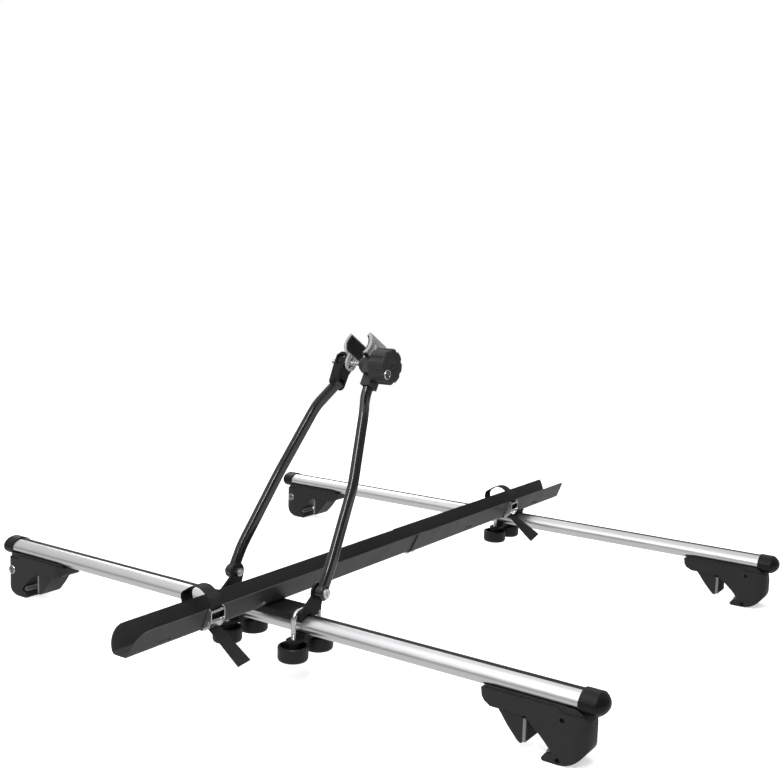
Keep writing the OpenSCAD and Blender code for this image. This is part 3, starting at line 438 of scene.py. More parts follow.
# %% The carrier's own finishes
FINISH = {
    "tray_steel": cloudy_finish("satin_black_coat", (0.018, 0.018, 0.020), (0.024, 0.024, 0.026),
                                (0.40, 0.50), 0.0016, 0.000025, Specular_IOR_Level=0.4),
    "bracket_steel": cloudy_finish("bracket_black_coat", grey(0.006), grey(0.010), (0.42, 0.54),
                                   0.0018, 0.00003, Specular_IOR_Level=0.15),
    "arm_steel": cloudy_finish("gloss_black_coat", grey(0.006), grey(0.010), (0.12, 0.20),
                               0.0030, 0.00002, Specular_IOR_Level=0.5, Coat_Weight=0.3,
                               Coat_Roughness=0.06),
    "zinc_steel": cloudy_finish("zinc_plating", (0.55, 0.55, 0.56), (0.70, 0.70, 0.71),
                                (0.22, 0.36), 0.0012, 0.00001, cloud=0.008, metal=1.0),
    "bar_aluminium": cloudy_finish("anodised_aluminium", (0.62, 0.62, 0.63), (0.70, 0.70, 0.71),
                                   (0.30, 0.38), 0.0004, 0.000012, stretch=(1, 120, 1),
                                   metal=1.0),
    "black_rubber": cloudy_finish("black_rubber", grey(0.008), grey(0.012), (0.62, 0.78), 0.0006,
                                  0.00004, Specular_IOR_Level=0.25),
    "cap_plastic": cloudy_finish("cap_plastic", grey(0.003), grey(0.006), (0.34, 0.44), 0.0005,
                                 0.00002, Specular_IOR_Level=0.2),
    "claw_plastic": cloudy_finish("grey_claw_plastic", grey(0.24), grey(0.29), (0.40, 0.52),
                                  0.0005, 0.00003),
    "jaw_rubber": cloudy_finish("claw_pad_rubber", grey(0.010), grey(0.015), (0.6, 0.75), 0.0006,
                                0.00004, Specular_IOR_Level=0.25),
    "knob_plastic": cloudy_finish("knob_plastic", grey(0.013), grey(0.020), (0.36, 0.48), 0.0005,
                                  0.00003, Specular_IOR_Level=0.3),
    "cup_plastic": cloudy_finish("cup_plastic", grey(0.006), grey(0.010), (0.36, 0.48), 0.0005,
                                 0.00003, Specular_IOR_Level=0.25),
    "lock_metal": cloudy_finish("lock_face_steel", grey(0.16), grey(0.24), (0.26, 0.36), 0.0010,
                                0.000006, cloud=0.006, metal=1.0),
    "foot_plastic": cloudy_finish("foot_plastic", (0.010, 0.010, 0.011), (0.014, 0.014, 0.015),
                                  (0.44, 0.56), 0.0005, 0.00004, Specular_IOR_Level=0.25),
    "rail_rubber": cloudy_finish("rail_pad_rubber", grey(0.10), grey(0.14), (0.6, 0.75), 0.0006,
                                 0.00004),
}
ring_chrome = cloudy_finish("lock_ring_chrome", grey(0.66), grey(0.78), (0.12, 0.20), 0.0010,
                            0.000004, cloud=0.006, metal=1.0)
print(len(FINISH), "finishes for the CAD nodes and one for the lock rings")

# %% [markdown]
# ## Rounded edges on the CAD pieces
# A CAD solid has edges that no press or mould can make. Four live modifiers give each node the
# small round of the real piece: Weld joins the loose triangles, Decimate melts flat neighbours into
# one face, Bevel cuts the sharp edges, and Weighted Normal keeps the flat faces flat in the light.

# %% Edge rounds
WELD_WITHIN, FLAT_DEG, ROUND_STEPS, FLAT_WEIGHT = 0.00002, 0.5, 3, 50


def soften(piece, round_mm, sharp_deg):
    """Weld, melt faces that lie within half a degree of each other, bevel the edges sharper than
    the given angle by the given width, then set normals that follow the larger faces."""
    piece.data.polygons.foreach_set("use_smooth", np.ones(len(piece.data.polygons), bool))
    weld = piece.modifiers.new("join_triangles", "WELD")
    weld.merge_threshold = WELD_WITHIN
    melt = piece.modifiers.new("melt_flat_faces", "DECIMATE")
    melt.decimate_type = "DISSOLVE"
    melt.angle_limit = np.radians(FLAT_DEG)
    bevel = piece.modifiers.new("edge_round", "BEVEL")
    bevel.width = round_mm * MM
    bevel.segments = ROUND_STEPS
    bevel.limit_method = "ANGLE"
    bevel.angle_limit = np.radians(sharp_deg)
    bevel.use_clamp_overlap = False
    normals = piece.modifiers.new("flat_faces_flat", "WEIGHTED_NORMAL")
    normals.weight = FLAT_WEIGHT
    normals.keep_sharp = False


print("edges get", ROUND_STEPS, "steps each")

# %% [markdown]
# The width of a round depends on the material: pressed steel is crisp and moulded plastic softer. A
# bevel wider than a nearby curve makes spikes, so the clamp housing has a finer one, and on the
# feet only the sharper edges are cut. Pieces that are made anew below are left out, and the claw's
# pin and nut are blackened.

# %% Dress the CAD nodes
ROUND_MM = {
    "tray_steel": 0.25, "bracket_steel": 0.6, "zinc_steel": 0.4, "bar_aluminium": 0.4,
    "black_rubber": 0.5, "cap_plastic": 0.5, "claw_plastic": 1.2, "lock_metal": 0.4,
    "foot_plastic": 0.5, "rail_rubber": 0.6,
}
FINE_ROUND_MM = {"clamp_housing": 0.3}
USUAL_SHARP_DEG, SHARP_DEG = 30, {"foot_plastic": 45}
CUP_KNOBS = {f"knob_{words}": f"cup_{words}" for words in
             ("near_a", "near_b", "far_a", "far_b", "rear_a", "rear_b")}
REPLACED = ("front_strap", "rear_strap", "near_leg", "far_leg", "clamp_knob", "clamp_screw",
            "u_bolts", "near_jaw_pad", "far_jaw_pad", *CUP_KNOBS)
slot_of = {row["node"]: row["material_slot"] for row in frame["record"]["subparts"]}
dressed = [name for name in nodes if name not in REPLACED]
BLACKED = ("claw_pin", "barrel_nut")
for name in dressed:
    slot = slot_of[name]
    nodes[name].data.materials.clear()
    nodes[name].data.materials.append(FINISH["bracket_steel" if name in BLACKED else slot])
    soften(nodes[name], FINE_ROUND_MM.get(name, ROUND_MM[slot]),
           SHARP_DEG.get(slot, USUAL_SHARP_DEG))
print(len(dressed), "CAD nodes dressed,", len(REPLACED), "left for the surfaces below")

# %% [markdown]
# ## The legs of the arm
# The arm is two flat-oval steel tubes that start upright at the pivots and are bent inwards to the
# clamp. Their gloss paint shows every facet, so they are swept again with a fine oval. Path and
# tube are those of the CAD model; a rounded boss closes the lower ends round the pivot bolts.

# %% Legs
PIVOT = np.array(joints["arm_fold"]["pos_m"])
HEAD = np.array(joints["clamp_turn"]["pos_m"])
ARM_MM, TUBE_WIDE, TUBE_THICK, PIVOT_OUT = 412, 22, 14, 97
ARM_LEAN, HEAD_LEAN = np.radians([31.0, 30.0])
LEG_CORNERS = ((0.11, 1.0, -1.5), (0.455, 0.84, 4), (0.78, 0.55, 1))
LEG_BEND_MM, LEG_BEND_STEPS, LEG_STEP_MM = 16, 16, 3
LEG_BOSS_R_MM, LEG_BOSS_ROUND_MM, LEG_EYE_R_MM, LEG_EYE_ROUND_MM = 12.5, 1.6, 7, 1.0
NEAR_END_MM = ((10, -36.2, -57), (10, -36.2, -20.1))
CLAW_PIN_MM = (0, 26, -42)
HEAD_X = np.array([np.cos(HEAD_LEAN), 0.0, -np.sin(HEAD_LEAN)])
HEAD_Z = np.array([np.sin(HEAD_LEAN), 0.0, np.cos(HEAD_LEAN)])


def in_head(points):
    """Millimetres in the leaning frame of the clamp head turned to metres in the whole frame."""
    return HEAD + np.asarray(points, float) * MM @ np.stack([HEAD_X, Y_AXIS, HEAD_Z])


def on_arm(along, out, bow):
    """The point a part of the way from the pivots to the clamp, moved out and bowed back, in mm."""
    run, c, s = along * ARM_MM, np.cos(ARM_LEAN), np.sin(ARM_LEAN)
    return PIVOT + np.array([run * s + bow * c, out, run * c - bow * s]) * MM


def oval_ring(wide, thick, half):
    """Two half circles of thickness thick whose centres lie wide - thick apart."""
    a = np.linspace(-np.pi / 2, np.pi / 2, half)
    right = np.stack([(wide - thick) / 2 + thick / 2 * np.cos(a), thick / 2 * np.sin(a)], -1)
    return np.concatenate([right, -right]) * MM


def drum(half_length, radius, round_mm):
    """Profile of a short solid cylinder with rounded rims."""
    return rounded([[-half_length, radius / 2], [-half_length, radius], [half_length, radius],
                    [half_length, radius / 2]], round_mm)


def leg(name, side, finish_points, extra=None):
    """Sweeps the oval from the pivot through the leg's corners, each given by its share of the way
    up, its share of the pivots' distance out and its bow, to the upper end."""
    out = side * PIVOT_OUT
    corners = np.array([on_arm(0, out, 0), *(on_arm(along, share * out, bow)
                                             for along, share, bow in LEG_CORNERS), *finish_points])
    path, run = resampled(bent(corners, LEG_BEND_MM * MM, LEG_BEND_STEPS), LEG_STEP_MM * MM)
    shape = Surface()
    shape.grid(sweep(path, oval_ring(TUBE_WIDE, TUBE_THICK, 18), Y_AXIS),
               wrap_columns=True, caps=True)
    boss = drum(TUBE_THICK / 2, LEG_BOSS_R_MM, LEG_BOSS_ROUND_MM)
    shape.grid(turned(boss, corners[0], Y_AXIS, 48), wrap_columns=True, caps=True)
    if extra is not None:
        shape.grid(extra, wrap_columns=True, caps=True)
    piece = shape.build(f"{name}_tube", FINISH["arm_steel"], "arm", "arm_steel")
    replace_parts(piece, name)
    print(f"{name}: {run[-1] / MM:.0f} mm of tube")


leg("near_leg", -1, in_head(NEAR_END_MM))
eye = drum(TUBE_WIDE / 2, LEG_EYE_R_MM, LEG_EYE_ROUND_MM)
leg("far_leg", 1, in_head([CLAW_PIN_MM]), turned(eye, in_head(CLAW_PIN_MM), HEAD_X, 32))

# %% [markdown]
# ## Two tones on the clamp housing
# The housing is one moulding in the CAD model, but only its claw is grey: the hub round the screw
# and the collar on the leg are black. The change is a plain step in the height over the screw,
# measured along the leaning head, so it needs no second piece.

# %% Housing tones
HUB_TOP_MM, HUB_TONE = 12.5, 0.012


def dark_below(made, origin, up, level, tone):
    """Mixes a tone into a finish below a level: the height is the dot product of up with the Object
    coordinates less the origin, and the change takes one millimetre."""
    tree = made.node_tree
    base = tree.nodes["Principled BSDF"].inputs["Base Color"]
    place = node(tree, "ShaderNodeTexCoord").outputs["Object"]
    offset = node(tree, "ShaderNodeVectorMath", {0: place, 1: tuple(origin)}, operation="SUBTRACT")
    height = node(tree, "ShaderNodeVectorMath", {0: offset.outputs["Vector"], 1: tuple(up)},
                  operation="DOT_PRODUCT")
    above = node(tree, "ShaderNodeMapRange", {
        "Value": height.outputs["Value"], "From Min": level, "From Max": level + MM})
    mixed = node(tree, "ShaderNodeMixRGB", {
        "Fac": above.outputs["Result"], "Color1": (*grey(tone), 1.0),
        "Color2": base.links[0].from_socket})
    tree.links.new(mixed.outputs["Color"], base)
    return made


nodes["clamp_housing"].data.materials[0] = dark_below(
    FINISH["claw_plastic"].copy(), HEAD, HEAD_Z, HUB_TOP_MM * MM, HUB_TONE)
print("housing: black up to", HUB_TOP_MM, "mm over the screw")

# %% [markdown]
# ## Threads
# A thread is a cylinder whose radius depends on where you are along it and how far round: following
# the ridge once round moves it by one pitch. That single formula makes the clamp screw, and with a
# fade it makes the cut ends of the U-bolts. A real relief is worth it, since the thread between the
# claws is in plain sight.

# %% Clamp screw
PITCH_MM, ROD_R_MM, THREAD_DEEP_MM = 1.25, 4.0, 0.62
FLANK_TOP, FLANK_SLOPE = 1.25, 2.7
SCREW_LOW_MM, SCREW_HIGH_MM, SCREW_ROWS, SCREW_COLUMNS = -45.0, 52.0, 740, 20
SCREW_TIP_MM, SCREW_TIP_CUT = 1.5, 0.16


def threaded_radius(run_mm, columns):
    """Radius in mm over (run, angle): the rod less the depth of a V with a flat crest and root,
    which repeats each pitch and advances by one pitch a turn."""
    turn = np.arange(columns) / columns
    phase = (run_mm[:, None] / PITCH_MM - turn) % 1
    groove = np.clip(FLANK_TOP - FLANK_SLOPE * np.abs(phase - 0.5), 0, 1)
    return ROD_R_MM - THREAD_DEEP_MM * groove


def clamp_screw():
    """The threaded cylinder along the head's Y axis, narrowed evenly over the tip."""
    y = np.linspace(SCREW_LOW_MM, SCREW_HIGH_MM, SCREW_ROWS)
    tip = np.clip((y - SCREW_HIGH_MM + SCREW_TIP_MM) / SCREW_TIP_MM, 0, 1)
    radius = threaded_radius(y, SCREW_COLUMNS) * (1 - SCREW_TIP_CUT * tip)[:, None]
    profile = np.stack([np.broadcast_to(y[:, None], radius.shape), radius], -1) * MM
    shape = Surface().grid(turned(profile, HEAD, Y_AXIS, SCREW_COLUMNS),
                           wrap_columns=True, caps=True)
    piece = shape.build("clamp_screw_thread", FINISH["zinc_steel"], "screw", "zinc_steel")
    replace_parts(piece, "clamp_screw")
    print(f"clamp screw: {(SCREW_HIGH_MM - SCREW_LOW_MM) / PITCH_MM:.0f} turns")


clamp_screw()

# %% [markdown]
# A U-bolt is the same rod, bent round two corners. A circle swept along that path would do, but the
# ends are cut with a thread, so each ring of the sweep takes its radius from the thread's formula.
# The places are those of the two bars and the tray in the CAD model.

# %% U-bolts
FRONT_X, REAR_X, TRAY_Y, FLOOR_Z = -372.0, 496.0, -40.0, 113.5
U_PLACES_MM = ((FRONT_X, TRAY_Y - 80, 117.6), (FRONT_X, TRAY_Y + 62, 117.6),
               (REAR_X, TRAY_Y + 28, 115.35))
U_HALF_MM, U_CORNER_MM, U_CORNER_POINTS, U_LOW_MM = 33.0, 13.0, 13, 49.0
U_CUT_MM, U_FADE_MM, U_TIP_MM, U_TIP_CUT = 36.0, 3.0, 1.2, 0.14
U_STEP_MM, U_COLUMNS = 0.2, 16


def u_bolt_grid(x, y, top):
    """A circle carried up one leg, round two quarter turns and down the other leg, with the thread
    fading out U_CUT_MM from either end."""
    a = np.radians(np.linspace(180, 90, U_CORNER_POINTS))
    inner = U_HALF_MM - U_CORNER_MM
    left = np.stack([-inner + U_CORNER_MM * np.cos(a), np.zeros_like(a),
                     top - U_CORNER_MM + U_CORNER_MM * np.sin(a)], -1)
    right = left[::-1] * [-1, 1, 1]
    ends = np.array([[-U_HALF_MM, 0, U_LOW_MM], [U_HALF_MM, 0, U_LOW_MM]])
    path, run = resampled(np.concatenate([ends[:1], left, right, ends[1:]]), U_STEP_MM)
    from_end = np.minimum(run, run[-1] - run)
    cut = np.clip((U_CUT_MM - from_end) / U_FADE_MM, 0, 1)[:, None]
    tip = (1 - U_TIP_CUT * np.clip(1 - from_end / U_TIP_MM, 0, 1))[:, None]
    radius = (ROD_R_MM + (threaded_radius(run, U_COLUMNS) - ROD_R_MM) * cut) * tip
    angle = 2 * np.pi * np.arange(U_COLUMNS) / U_COLUMNS
    ring = np.stack([radius * np.cos(angle), radius * np.sin(angle)], -1)
    return sweep((path + [x, y, 0]) * MM, ring * MM, Y_AXIS)


bolts = Surface()
for place in U_PLACES_MM:
    bolts.grid(u_bolt_grid(*place), wrap_columns=True, caps=True)
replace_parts(bolts.build("u_bolt_rods", FINISH["zinc_steel"], "base", "zinc_steel"), "u_bolts")
print("three U-bolts,", bolts.count, "points")

# %% [markdown]
# ## Cup knobs
# The nuts on the U-bolts are moulded cups that stand open side up: a thin wall, a boss in the
# middle that takes the thread, and six ribs between them. A turned profile gives wall and boss in
# one closed skin with soft rims, and the ribs are short bars that end inside it.

# %% Cup knobs
CUP_R_MM, CUP_H_MM, CUP_FLOOR_MM, CUP_WALL_MM = 25.0, 25.0, 4.0, 3.5
CUP_RIM_MM, CUP_FOOT_MM, CUP_EASE_MM, CUP_COLUMNS = 1.5, 5.0, 0.7, 72
BOSS_R_MM, BORE_R_MM = 9.0, 4.05
CUP_RIBS, RIB_HALF_MM, RIB_LOW_MM, RIB_TOP_MM, RIB_INTO_MM = 6, 1.2, 3.0, 16.0, 1.0


def cup_knob(name, body):
    """Turns the cup's outline from the middle of its bottom over the rim and the boss into the
    bore, and carries a rectangle along each rib's spoke."""
    low, high = (np.array(corner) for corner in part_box(name))
    centre = np.append((low + high)[:2] / 2, low[2])
    boss_top, inner = (high[2] - low[2]) / MM, CUP_R_MM - CUP_WALL_MM
    eased = CUP_R_MM - CUP_RIM_MM
    outline = [[0, BORE_R_MM], [0, CUP_R_MM - CUP_FOOT_MM], [CUP_RIM_MM, eased],
               [CUP_FOOT_MM, CUP_R_MM], [CUP_H_MM - CUP_RIM_MM, CUP_R_MM], [CUP_H_MM, eased],
               [CUP_H_MM, inner], [CUP_FLOOR_MM, inner], [CUP_FLOOR_MM, BOSS_R_MM],
               [boss_top, BOSS_R_MM], [boss_top, BORE_R_MM], [CUP_FLOOR_MM, BORE_R_MM]]
    skin = turned(rounded(outline, CUP_EASE_MM), centre, Z_AXIS, CUP_COLUMNS, start=X_AXIS)
    shape = Surface().grid(skin, wrap_columns=True, caps=True)
    half = np.array([RIB_HALF_MM, (RIB_TOP_MM - RIB_LOW_MM) / 2])
    rectangle = np.array([[-1, -1], [1, -1], [1, 1], [-1, 1]]) * half * MM
    middle = centre + Z_AXIS * (RIB_TOP_MM + RIB_LOW_MM) / 2 * MM
    for angle in 2 * np.pi * np.arange(CUP_RIBS) / CUP_RIBS:
        spoke = np.cos(angle) * X_AXIS + np.sin(angle) * Y_AXIS
        path = middle + np.array([[BOSS_R_MM - RIB_INTO_MM], [inner + RIB_INTO_MM]]) * MM * spoke
        shape.grid(sweep(path, rectangle, Z_AXIS), wrap_columns=True, caps=True)
    piece = shape.build(f"{name}_cup", FINISH["cup_plastic"], body, "cup_plastic")
    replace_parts(piece, name)


for name, body in CUP_KNOBS.items():
    cup_knob(name, body)
print(len(CUP_KNOBS), "cup knobs,", 2 * CUP_R_MM, "mm across")

# %% [markdown]
# ## The big knob
# The clamp knob is a moulding with eight broad lobes, turned by a whole hand. In polar terms its
# radius is a plain turned profile less a narrow groove at every eighth of a turn, and the groove
# dies away towards the end face. The face has a shallow well with a deeper hole in its middle.

# %% Clamp knob
KNOB_BACK_MM, LOBES, KNOB_COLUMNS, KNOB_EASE_MM = -46.0, 8, 256, 0.55
KNOB_MM = [[0, 5], [0, 29.5], [2.6, 32.4], [30.6, 32.4], [33.4, 30.0], [34, 27.2], [34, 10.6],
           [33.1, 9.8], [33.1, 3.7], [29, 3.3]]
GROOVE_MM, GROOVE_HALF_DEG, GROOVE_FROM_MM, GROOVE_OVER_MM = 2.6, 7.5, 25.5, 4.0


def clamp_knob():
    """Turned profile; at radii near the rim the radius drops by the groove's depth times a flat
    bell of the angle to the nearest groove."""
    profile = bent(KNOB_MM, KNOB_EASE_MM, 4)
    turn = np.arange(KNOB_COLUMNS) / KNOB_COLUMNS * LOBES
    bell = np.exp(-((turn - np.round(turn)) * 360 / LOBES / GROOVE_HALF_DEG) ** 4)
    edge = np.clip((profile[:, 1] - GROOVE_FROM_MM) / GROOVE_OVER_MM, 0, 1)
    radius = profile[:, 1:] - GROOVE_MM * edge[:, None] * bell
    along = np.broadcast_to(profile[:, :1], radius.shape)
    grid = turned(np.stack([along, radius], -1) * MM, in_head([0, KNOB_BACK_MM, 0]), -Y_AXIS,
                  KNOB_COLUMNS, start=HEAD_X)
    shape = Surface().grid(grid, wrap_columns=True, caps=True)
    piece = shape.build("clamp_knob_lobes", FINISH["knob_plastic"], "screw", "knob_plastic")
    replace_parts(piece, "clamp_knob")
    print(f"knob: {LOBES} lobes, {2 * radius.max():.1f} mm across")


clamp_knob()

# %% [markdown]
# ## Lock rings
# A key lock shows a bright ring round a darker face. The faces are CAD nodes, so only the rings are
# missing: a small closed profile turned round the axis that the record gives for each lock.

# %% Rings round the locks
RING_MM = [[-4, 7.62], [0.9, 7.62], [1.5, 8.0], [1.3, 8.6], [-4, 8.8]]
FEET = {"fn": ("front_near", FRONT_X, -1), "ff": ("front_far", FRONT_X, 1),
        "rn": ("rear_near", REAR_X, -1), "rf": ("rear_far", REAR_X, 1)}
ring_places = [(f"foot_{words}", joints[f"lock_{words}_turn"]) for words, _, _ in FEET.values()]
ring_places.append(("screw", joints["frame_lock_turn"]))
for body, joint in ring_places:
    ring = Surface().grid(turned(np.array(RING_MM) * MM, joint["pos_m"], joint["axis"], 48),
                          wrap_rows=True, wrap_columns=True)
    ring.build(f"lock_ring_{body}", ring_chrome, body, "lock_metal")
print(len(ring_places), "lock rings")

# %% [markdown]
# ## Dotted pads on the rail jaws
# The face that grips the roof rail is black rubber with rows of small domes on a grey backing. It
# is a height field: the height is that of the nearest dome, and the rim is sunk into the backing.

# %% Dotted rubber faces
DOT_PITCH_MM, DOT_R_MM, DOT_HIGH_MM, DOT_FROM_RIM_MM = 6.2, 2.0, 0.9, 1.2
FACE_INSET_MM, FACE_ROWS, FACE_COLUMNS = 0.9, 85, 69
FACE_HIGH_MM, RIM_WIDE_MM, RIM_SUNK_MM = 0.25, 0.1, 0.3


def dotted_face(low, high, side):
    """Heights over a plane square to Y: a dome is sqrt(1 - (d / r)^2) of the distance d to the
    nearest point of a staggered grid."""
    inset = FACE_INSET_MM * MM
    x, z = np.meshgrid(np.linspace(low[0] + inset, high[0] - inset, FACE_ROWS),
                       np.linspace(low[2] + inset, high[2] - inset, FACE_COLUMNS), indexing="ij")
    u, v = (x - x.mean()) / MM / DOT_PITCH_MM, (z - z.mean()) / MM / DOT_PITCH_MM
    row = np.round(v)
    shifted = u + 0.5 * (row % 2)
    d = np.hypot(shifted - np.round(shifted), v - row) * DOT_PITCH_MM / DOT_R_MM
    inner = np.minimum(np.ptp(x) / 2 - np.abs(x - x.mean()), np.ptp(z) / 2 - np.abs(z - z.mean()))
    dome = DOT_HIGH_MM * np.sqrt(np.clip(1 - d ** 2, 0, 1)) * (inner > DOT_FROM_RIM_MM * MM)
    height = np.where(inner < RIM_WIDE_MM * MM, -RIM_SUNK_MM, FACE_HIGH_MM + dome) * MM
    y = high[1] + height if side > 0 else low[1] - height
    return np.stack([x, y, z], -1)


for short, (words, _, side) in FEET.items():
    face = Surface().grid(dotted_face(*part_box(f"jaw_pad_{short}"), side), back=True)
    face.build(f"dotted_pad_{short}", FINISH["jaw_rubber"], f"jaw_{words}", "jaw_rubber")
print("four dotted faces,", face.count, "points each")

# %% [markdown]
# ## Screws in the feet
# Two screws close the shell of each foot, sunk in round holes. Only a domed head with a dark socket
# is seen at the bottom of the hole, so a turned profile of a few rings is enough.

# %% Sunk screws
FOOT_END_MM, BAR_Z_MM, FOOT_HALF_MM, HOLE_DEEP_MM = 628.0, 92.0, 27.0, 5.0
HOLES_MM = ((40.0, -27.0), (44.0, -86.0))
SCREW_EASE_MM = 0.12
SCREW_MM = [[-0.3, 1.6], [-0.3, 3.3], [1.1, 3.2], [1.9, 2.2], [2.0, 1.5], [0.8, 1.3]]
screw_profile = rounded(SCREW_MM, SCREW_EASE_MM)
for short, (words, x, side) in FEET.items():
    screws = Surface()
    for along, up in HOLES_MM:
        at = np.array([x + side * (FOOT_HALF_MM - HOLE_DEEP_MM), side * (FOOT_END_MM - along),
                       BAR_Z_MM + up]) * MM
        screws.grid(turned(screw_profile, at, side * X_AXIS, 24), wrap_columns=True, caps=True)
    screws.build(f"foot_screws_{short}", FINISH["bracket_steel"], f"foot_{words}", "bracket_steel")
print("eight sunk screws")

# %% [markdown]
# ## Ribbed pads in the frame clamp
# The two claws are lined with rubber whose ribs run along the tube that they grip. The section is a
# closed loop: the inner arc carries the ribs, the outer arc lies on the claw. It is carried
# straight along the width of the jaw.

# %% Claw pads
GRIP_MM, GRIP_R_MM, PAD_BACK_MM = np.array([-7.0, 30.0]), 21.0, 23.95
PAD_LOW_X_MM, PAD_HIGH_X_MM, PAD_END_MM, PAD_POINTS = -23.36, 32.64, 0.6, 181
RIB_DEEP_MM, RIB_PITCH_MM = 1.0, 3.4
NEAR_PAD_DEG, FAR_PAD_DEG = (131, 222), (-40, 37)


def claw_pad(name, body, first, last):
    """Ribs are the upper halves of a cosine of the arc length on the inner radius."""
    angle = np.radians(np.linspace(first, last, PAD_POINTS))
    arc = GRIP_R_MM * (angle - angle.mean())
    wave = np.clip(-np.cos(2 * np.pi * arc / RIB_PITCH_MM), 0, 1) ** 0.5
    inner = GRIP_R_MM + RIB_DEEP_MM * wave
    outward = np.stack([np.cos(angle), np.sin(angle)], -1)
    loop = GRIP_MM + np.concatenate([outward * inner[:, None], outward[::-1] * PAD_BACK_MM])
    rows = (PAD_LOW_X_MM, PAD_LOW_X_MM + PAD_END_MM, PAD_HIGH_X_MM - PAD_END_MM, PAD_HIGH_X_MM)
    grid = np.stack([np.column_stack([np.full(len(loop), x), loop]) for x in rows])
    shape = Surface().grid(in_head(grid), wrap_columns=True, caps=True)
    piece = shape.build(f"{name}_ribs", FINISH["jaw_rubber"], body, "jaw_rubber", smooth=False)
    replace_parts(piece, name)
    print(f"{name}: {np.ptp(arc) / RIB_PITCH_MM:.0f} ribs")


claw_pad("near_jaw_pad", "arm", *NEAR_PAD_DEG)
claw_pad("far_jaw_pad", "claw", *FAR_PAD_DEG)

# %% [markdown]
# ## Wheel straps
# Each strap is a length of black webbing. Up close it shows a chevron twill between two plain
# edges. The weave is finer than any mesh should be, so it is left to the material, which reads the
# distances along and across the band from the UV map and so follows every bend.

# %% Webbing finish
TWILL_ALONG, TWILL_ACROSS, TWILL_RELIEF, PLAIN_FROM = 0.0013, 0.0016, 0.00016, 0.0112
DUST_SCALE, DUST_DETAIL, DUST_SHARE, WEAVE_SHARE = 60.0, 3.0, 0.4, 0.6
WEBBING_DARK, WEBBING_LIGHT = (0.005, 0.005, 0.006, 1), (0.020, 0.020, 0.022, 1)
WEBBING_ROUGH, WEBBING_SMOOTH, WEBBING_SHINE = 0.78, 0.56, 0.2


def calc(tree, operation, *values):
    """One Math node; sockets are linked and numbers are set."""
    return node(tree, "ShaderNodeMath", dict(enumerate(values)), operation=operation).outputs[0]


def webbing_finish():
    """Black webbing: a chevron twill is a sine of the distance along the band, shifted by a zigzag
    of the distance across. The same height gives bump, tone and roughness, and both edges are
    plain."""
    made = bpy.data.materials.new("black_webbing")
    made.use_nodes = True
    tree = made.node_tree
    shader = tree.nodes["Principled BSDF"]
    uv = node(tree, "ShaderNodeSeparateXYZ", {"Vector": node(
        tree, "ShaderNodeUVMap", uv_map="along_and_across").outputs["UV"]})
    zigzag = calc(tree, "PINGPONG", calc(tree, "DIVIDE", uv.outputs["Y"], TWILL_ACROSS), 1.0)
    turns = calc(tree, "ADD", calc(tree, "DIVIDE", uv.outputs["X"], TWILL_ALONG), zigzag)
    twill = calc(tree, "SINE", calc(tree, "MULTIPLY", turns, 2 * np.pi))
    edge = calc(tree, "GREATER_THAN", calc(tree, "ABSOLUTE", uv.outputs["Y"]), PLAIN_FROM)
    weave = calc(tree, "MULTIPLY_ADD", twill, 0.5, 0.5)
    dust = node(tree, "ShaderNodeTexNoise", {
        "Vector": node(tree, "ShaderNodeTexCoord").outputs["Object"], "Scale": DUST_SCALE,
        "Detail": DUST_DETAIL})
    blend = calc(tree, "MULTIPLY_ADD", dust.outputs["Fac"], DUST_SHARE,
                 calc(tree, "MULTIPLY", weave, WEAVE_SHARE))
    tone = node(tree, "ShaderNodeMixRGB", {
        "Fac": blend, "Color1": WEBBING_DARK, "Color2": WEBBING_LIGHT})
    rough = node(tree, "ShaderNodeMapRange", {
        "Value": blend, "To Min": WEBBING_ROUGH, "To Max": WEBBING_SMOOTH})
    bump = node(tree, "ShaderNodeBump", {
        "Height": calc(tree, "MAXIMUM", weave, edge), "Strength": 1.0, "Distance": TWILL_RELIEF})
    tree.links.new(tone.outputs["Color"], shader.inputs["Base Color"])
    tree.links.new(rough.outputs["Result"], shader.inputs["Roughness"])
    tree.links.new(bump.outputs["Normal"], shader.inputs["Normal"])
    shader.inputs["Specular IOR Level"].default_value = WEBBING_SHINE
    return made


webbing = webbing_finish()
print(f"a twill line every {TWILL_ALONG / MM} mm")

# %% [markdown]
# A strap comes out of the buckle, goes over the tray in a loop, down the far wall, under the tray
# and back to the buckle, with a free tail in front. The route is that of the CAD model, with a
# softer loop and a tail that hangs lower. It is drawn in the plane across the tray, on the slope of
# the walls, and o is how far a tray half stands outside the front one.

# %% Strap route
STRAP_W_MM, STRAP_T_MM, STRAP_TOP_MM, SEAT_MM = 25.0, 1.6, 66.0, 0.1
TRAY_FLOOR_MM, TRAY_TOP_MM, WALL_MM = 30.0, 58.0, 36.0
TAIL_MM, TAIL_DIP = 76.0, np.radians(34.0)
WALL_TILT = np.arctan((TRAY_TOP_MM - TRAY_FLOOR_MM) / 2 / WALL_MM)
BUCKLE_OUT_MM, BUCKLE_LOW_MM = 9.0, -11.0
BEHIND_BUCKLE_MM = ((0.6, -2.0), (0.0, 14.0))
LIFT_MM, SEWN_LOW_MM = 6.0, -12.0
SHOULDER_SHARE, SHOULDER_DROP_MM, CROWN_HALF_MM = 0.55, 16.0, 8.0
TIGHT_MM, LOOP_BENDS_MM, STRAP_BEND_STEPS = 3.5, [6.0, 7.9, 7.9, 6.0], 12


def corner_y(o):
    """Half the width of the tray's outer line at its lower corner, o outside the front half's."""
    return TRAY_FLOOR_MM / 2 + o * (1 - np.sin(WALL_TILT)) / np.cos(WALL_TILT)


def wall_point(o, out, up):
    """A point out from the middle of the near wall and up along it, from the floor's middle."""
    middle = corner_y(o) + (WALL_MM + o) * np.tan(WALL_TILT) / 2
    return np.array([-middle - out * np.cos(WALL_TILT) - up * np.sin(WALL_TILT),
                     (WALL_MM - o) / 2 - out * np.sin(WALL_TILT) + up * np.cos(WALL_TILT)])


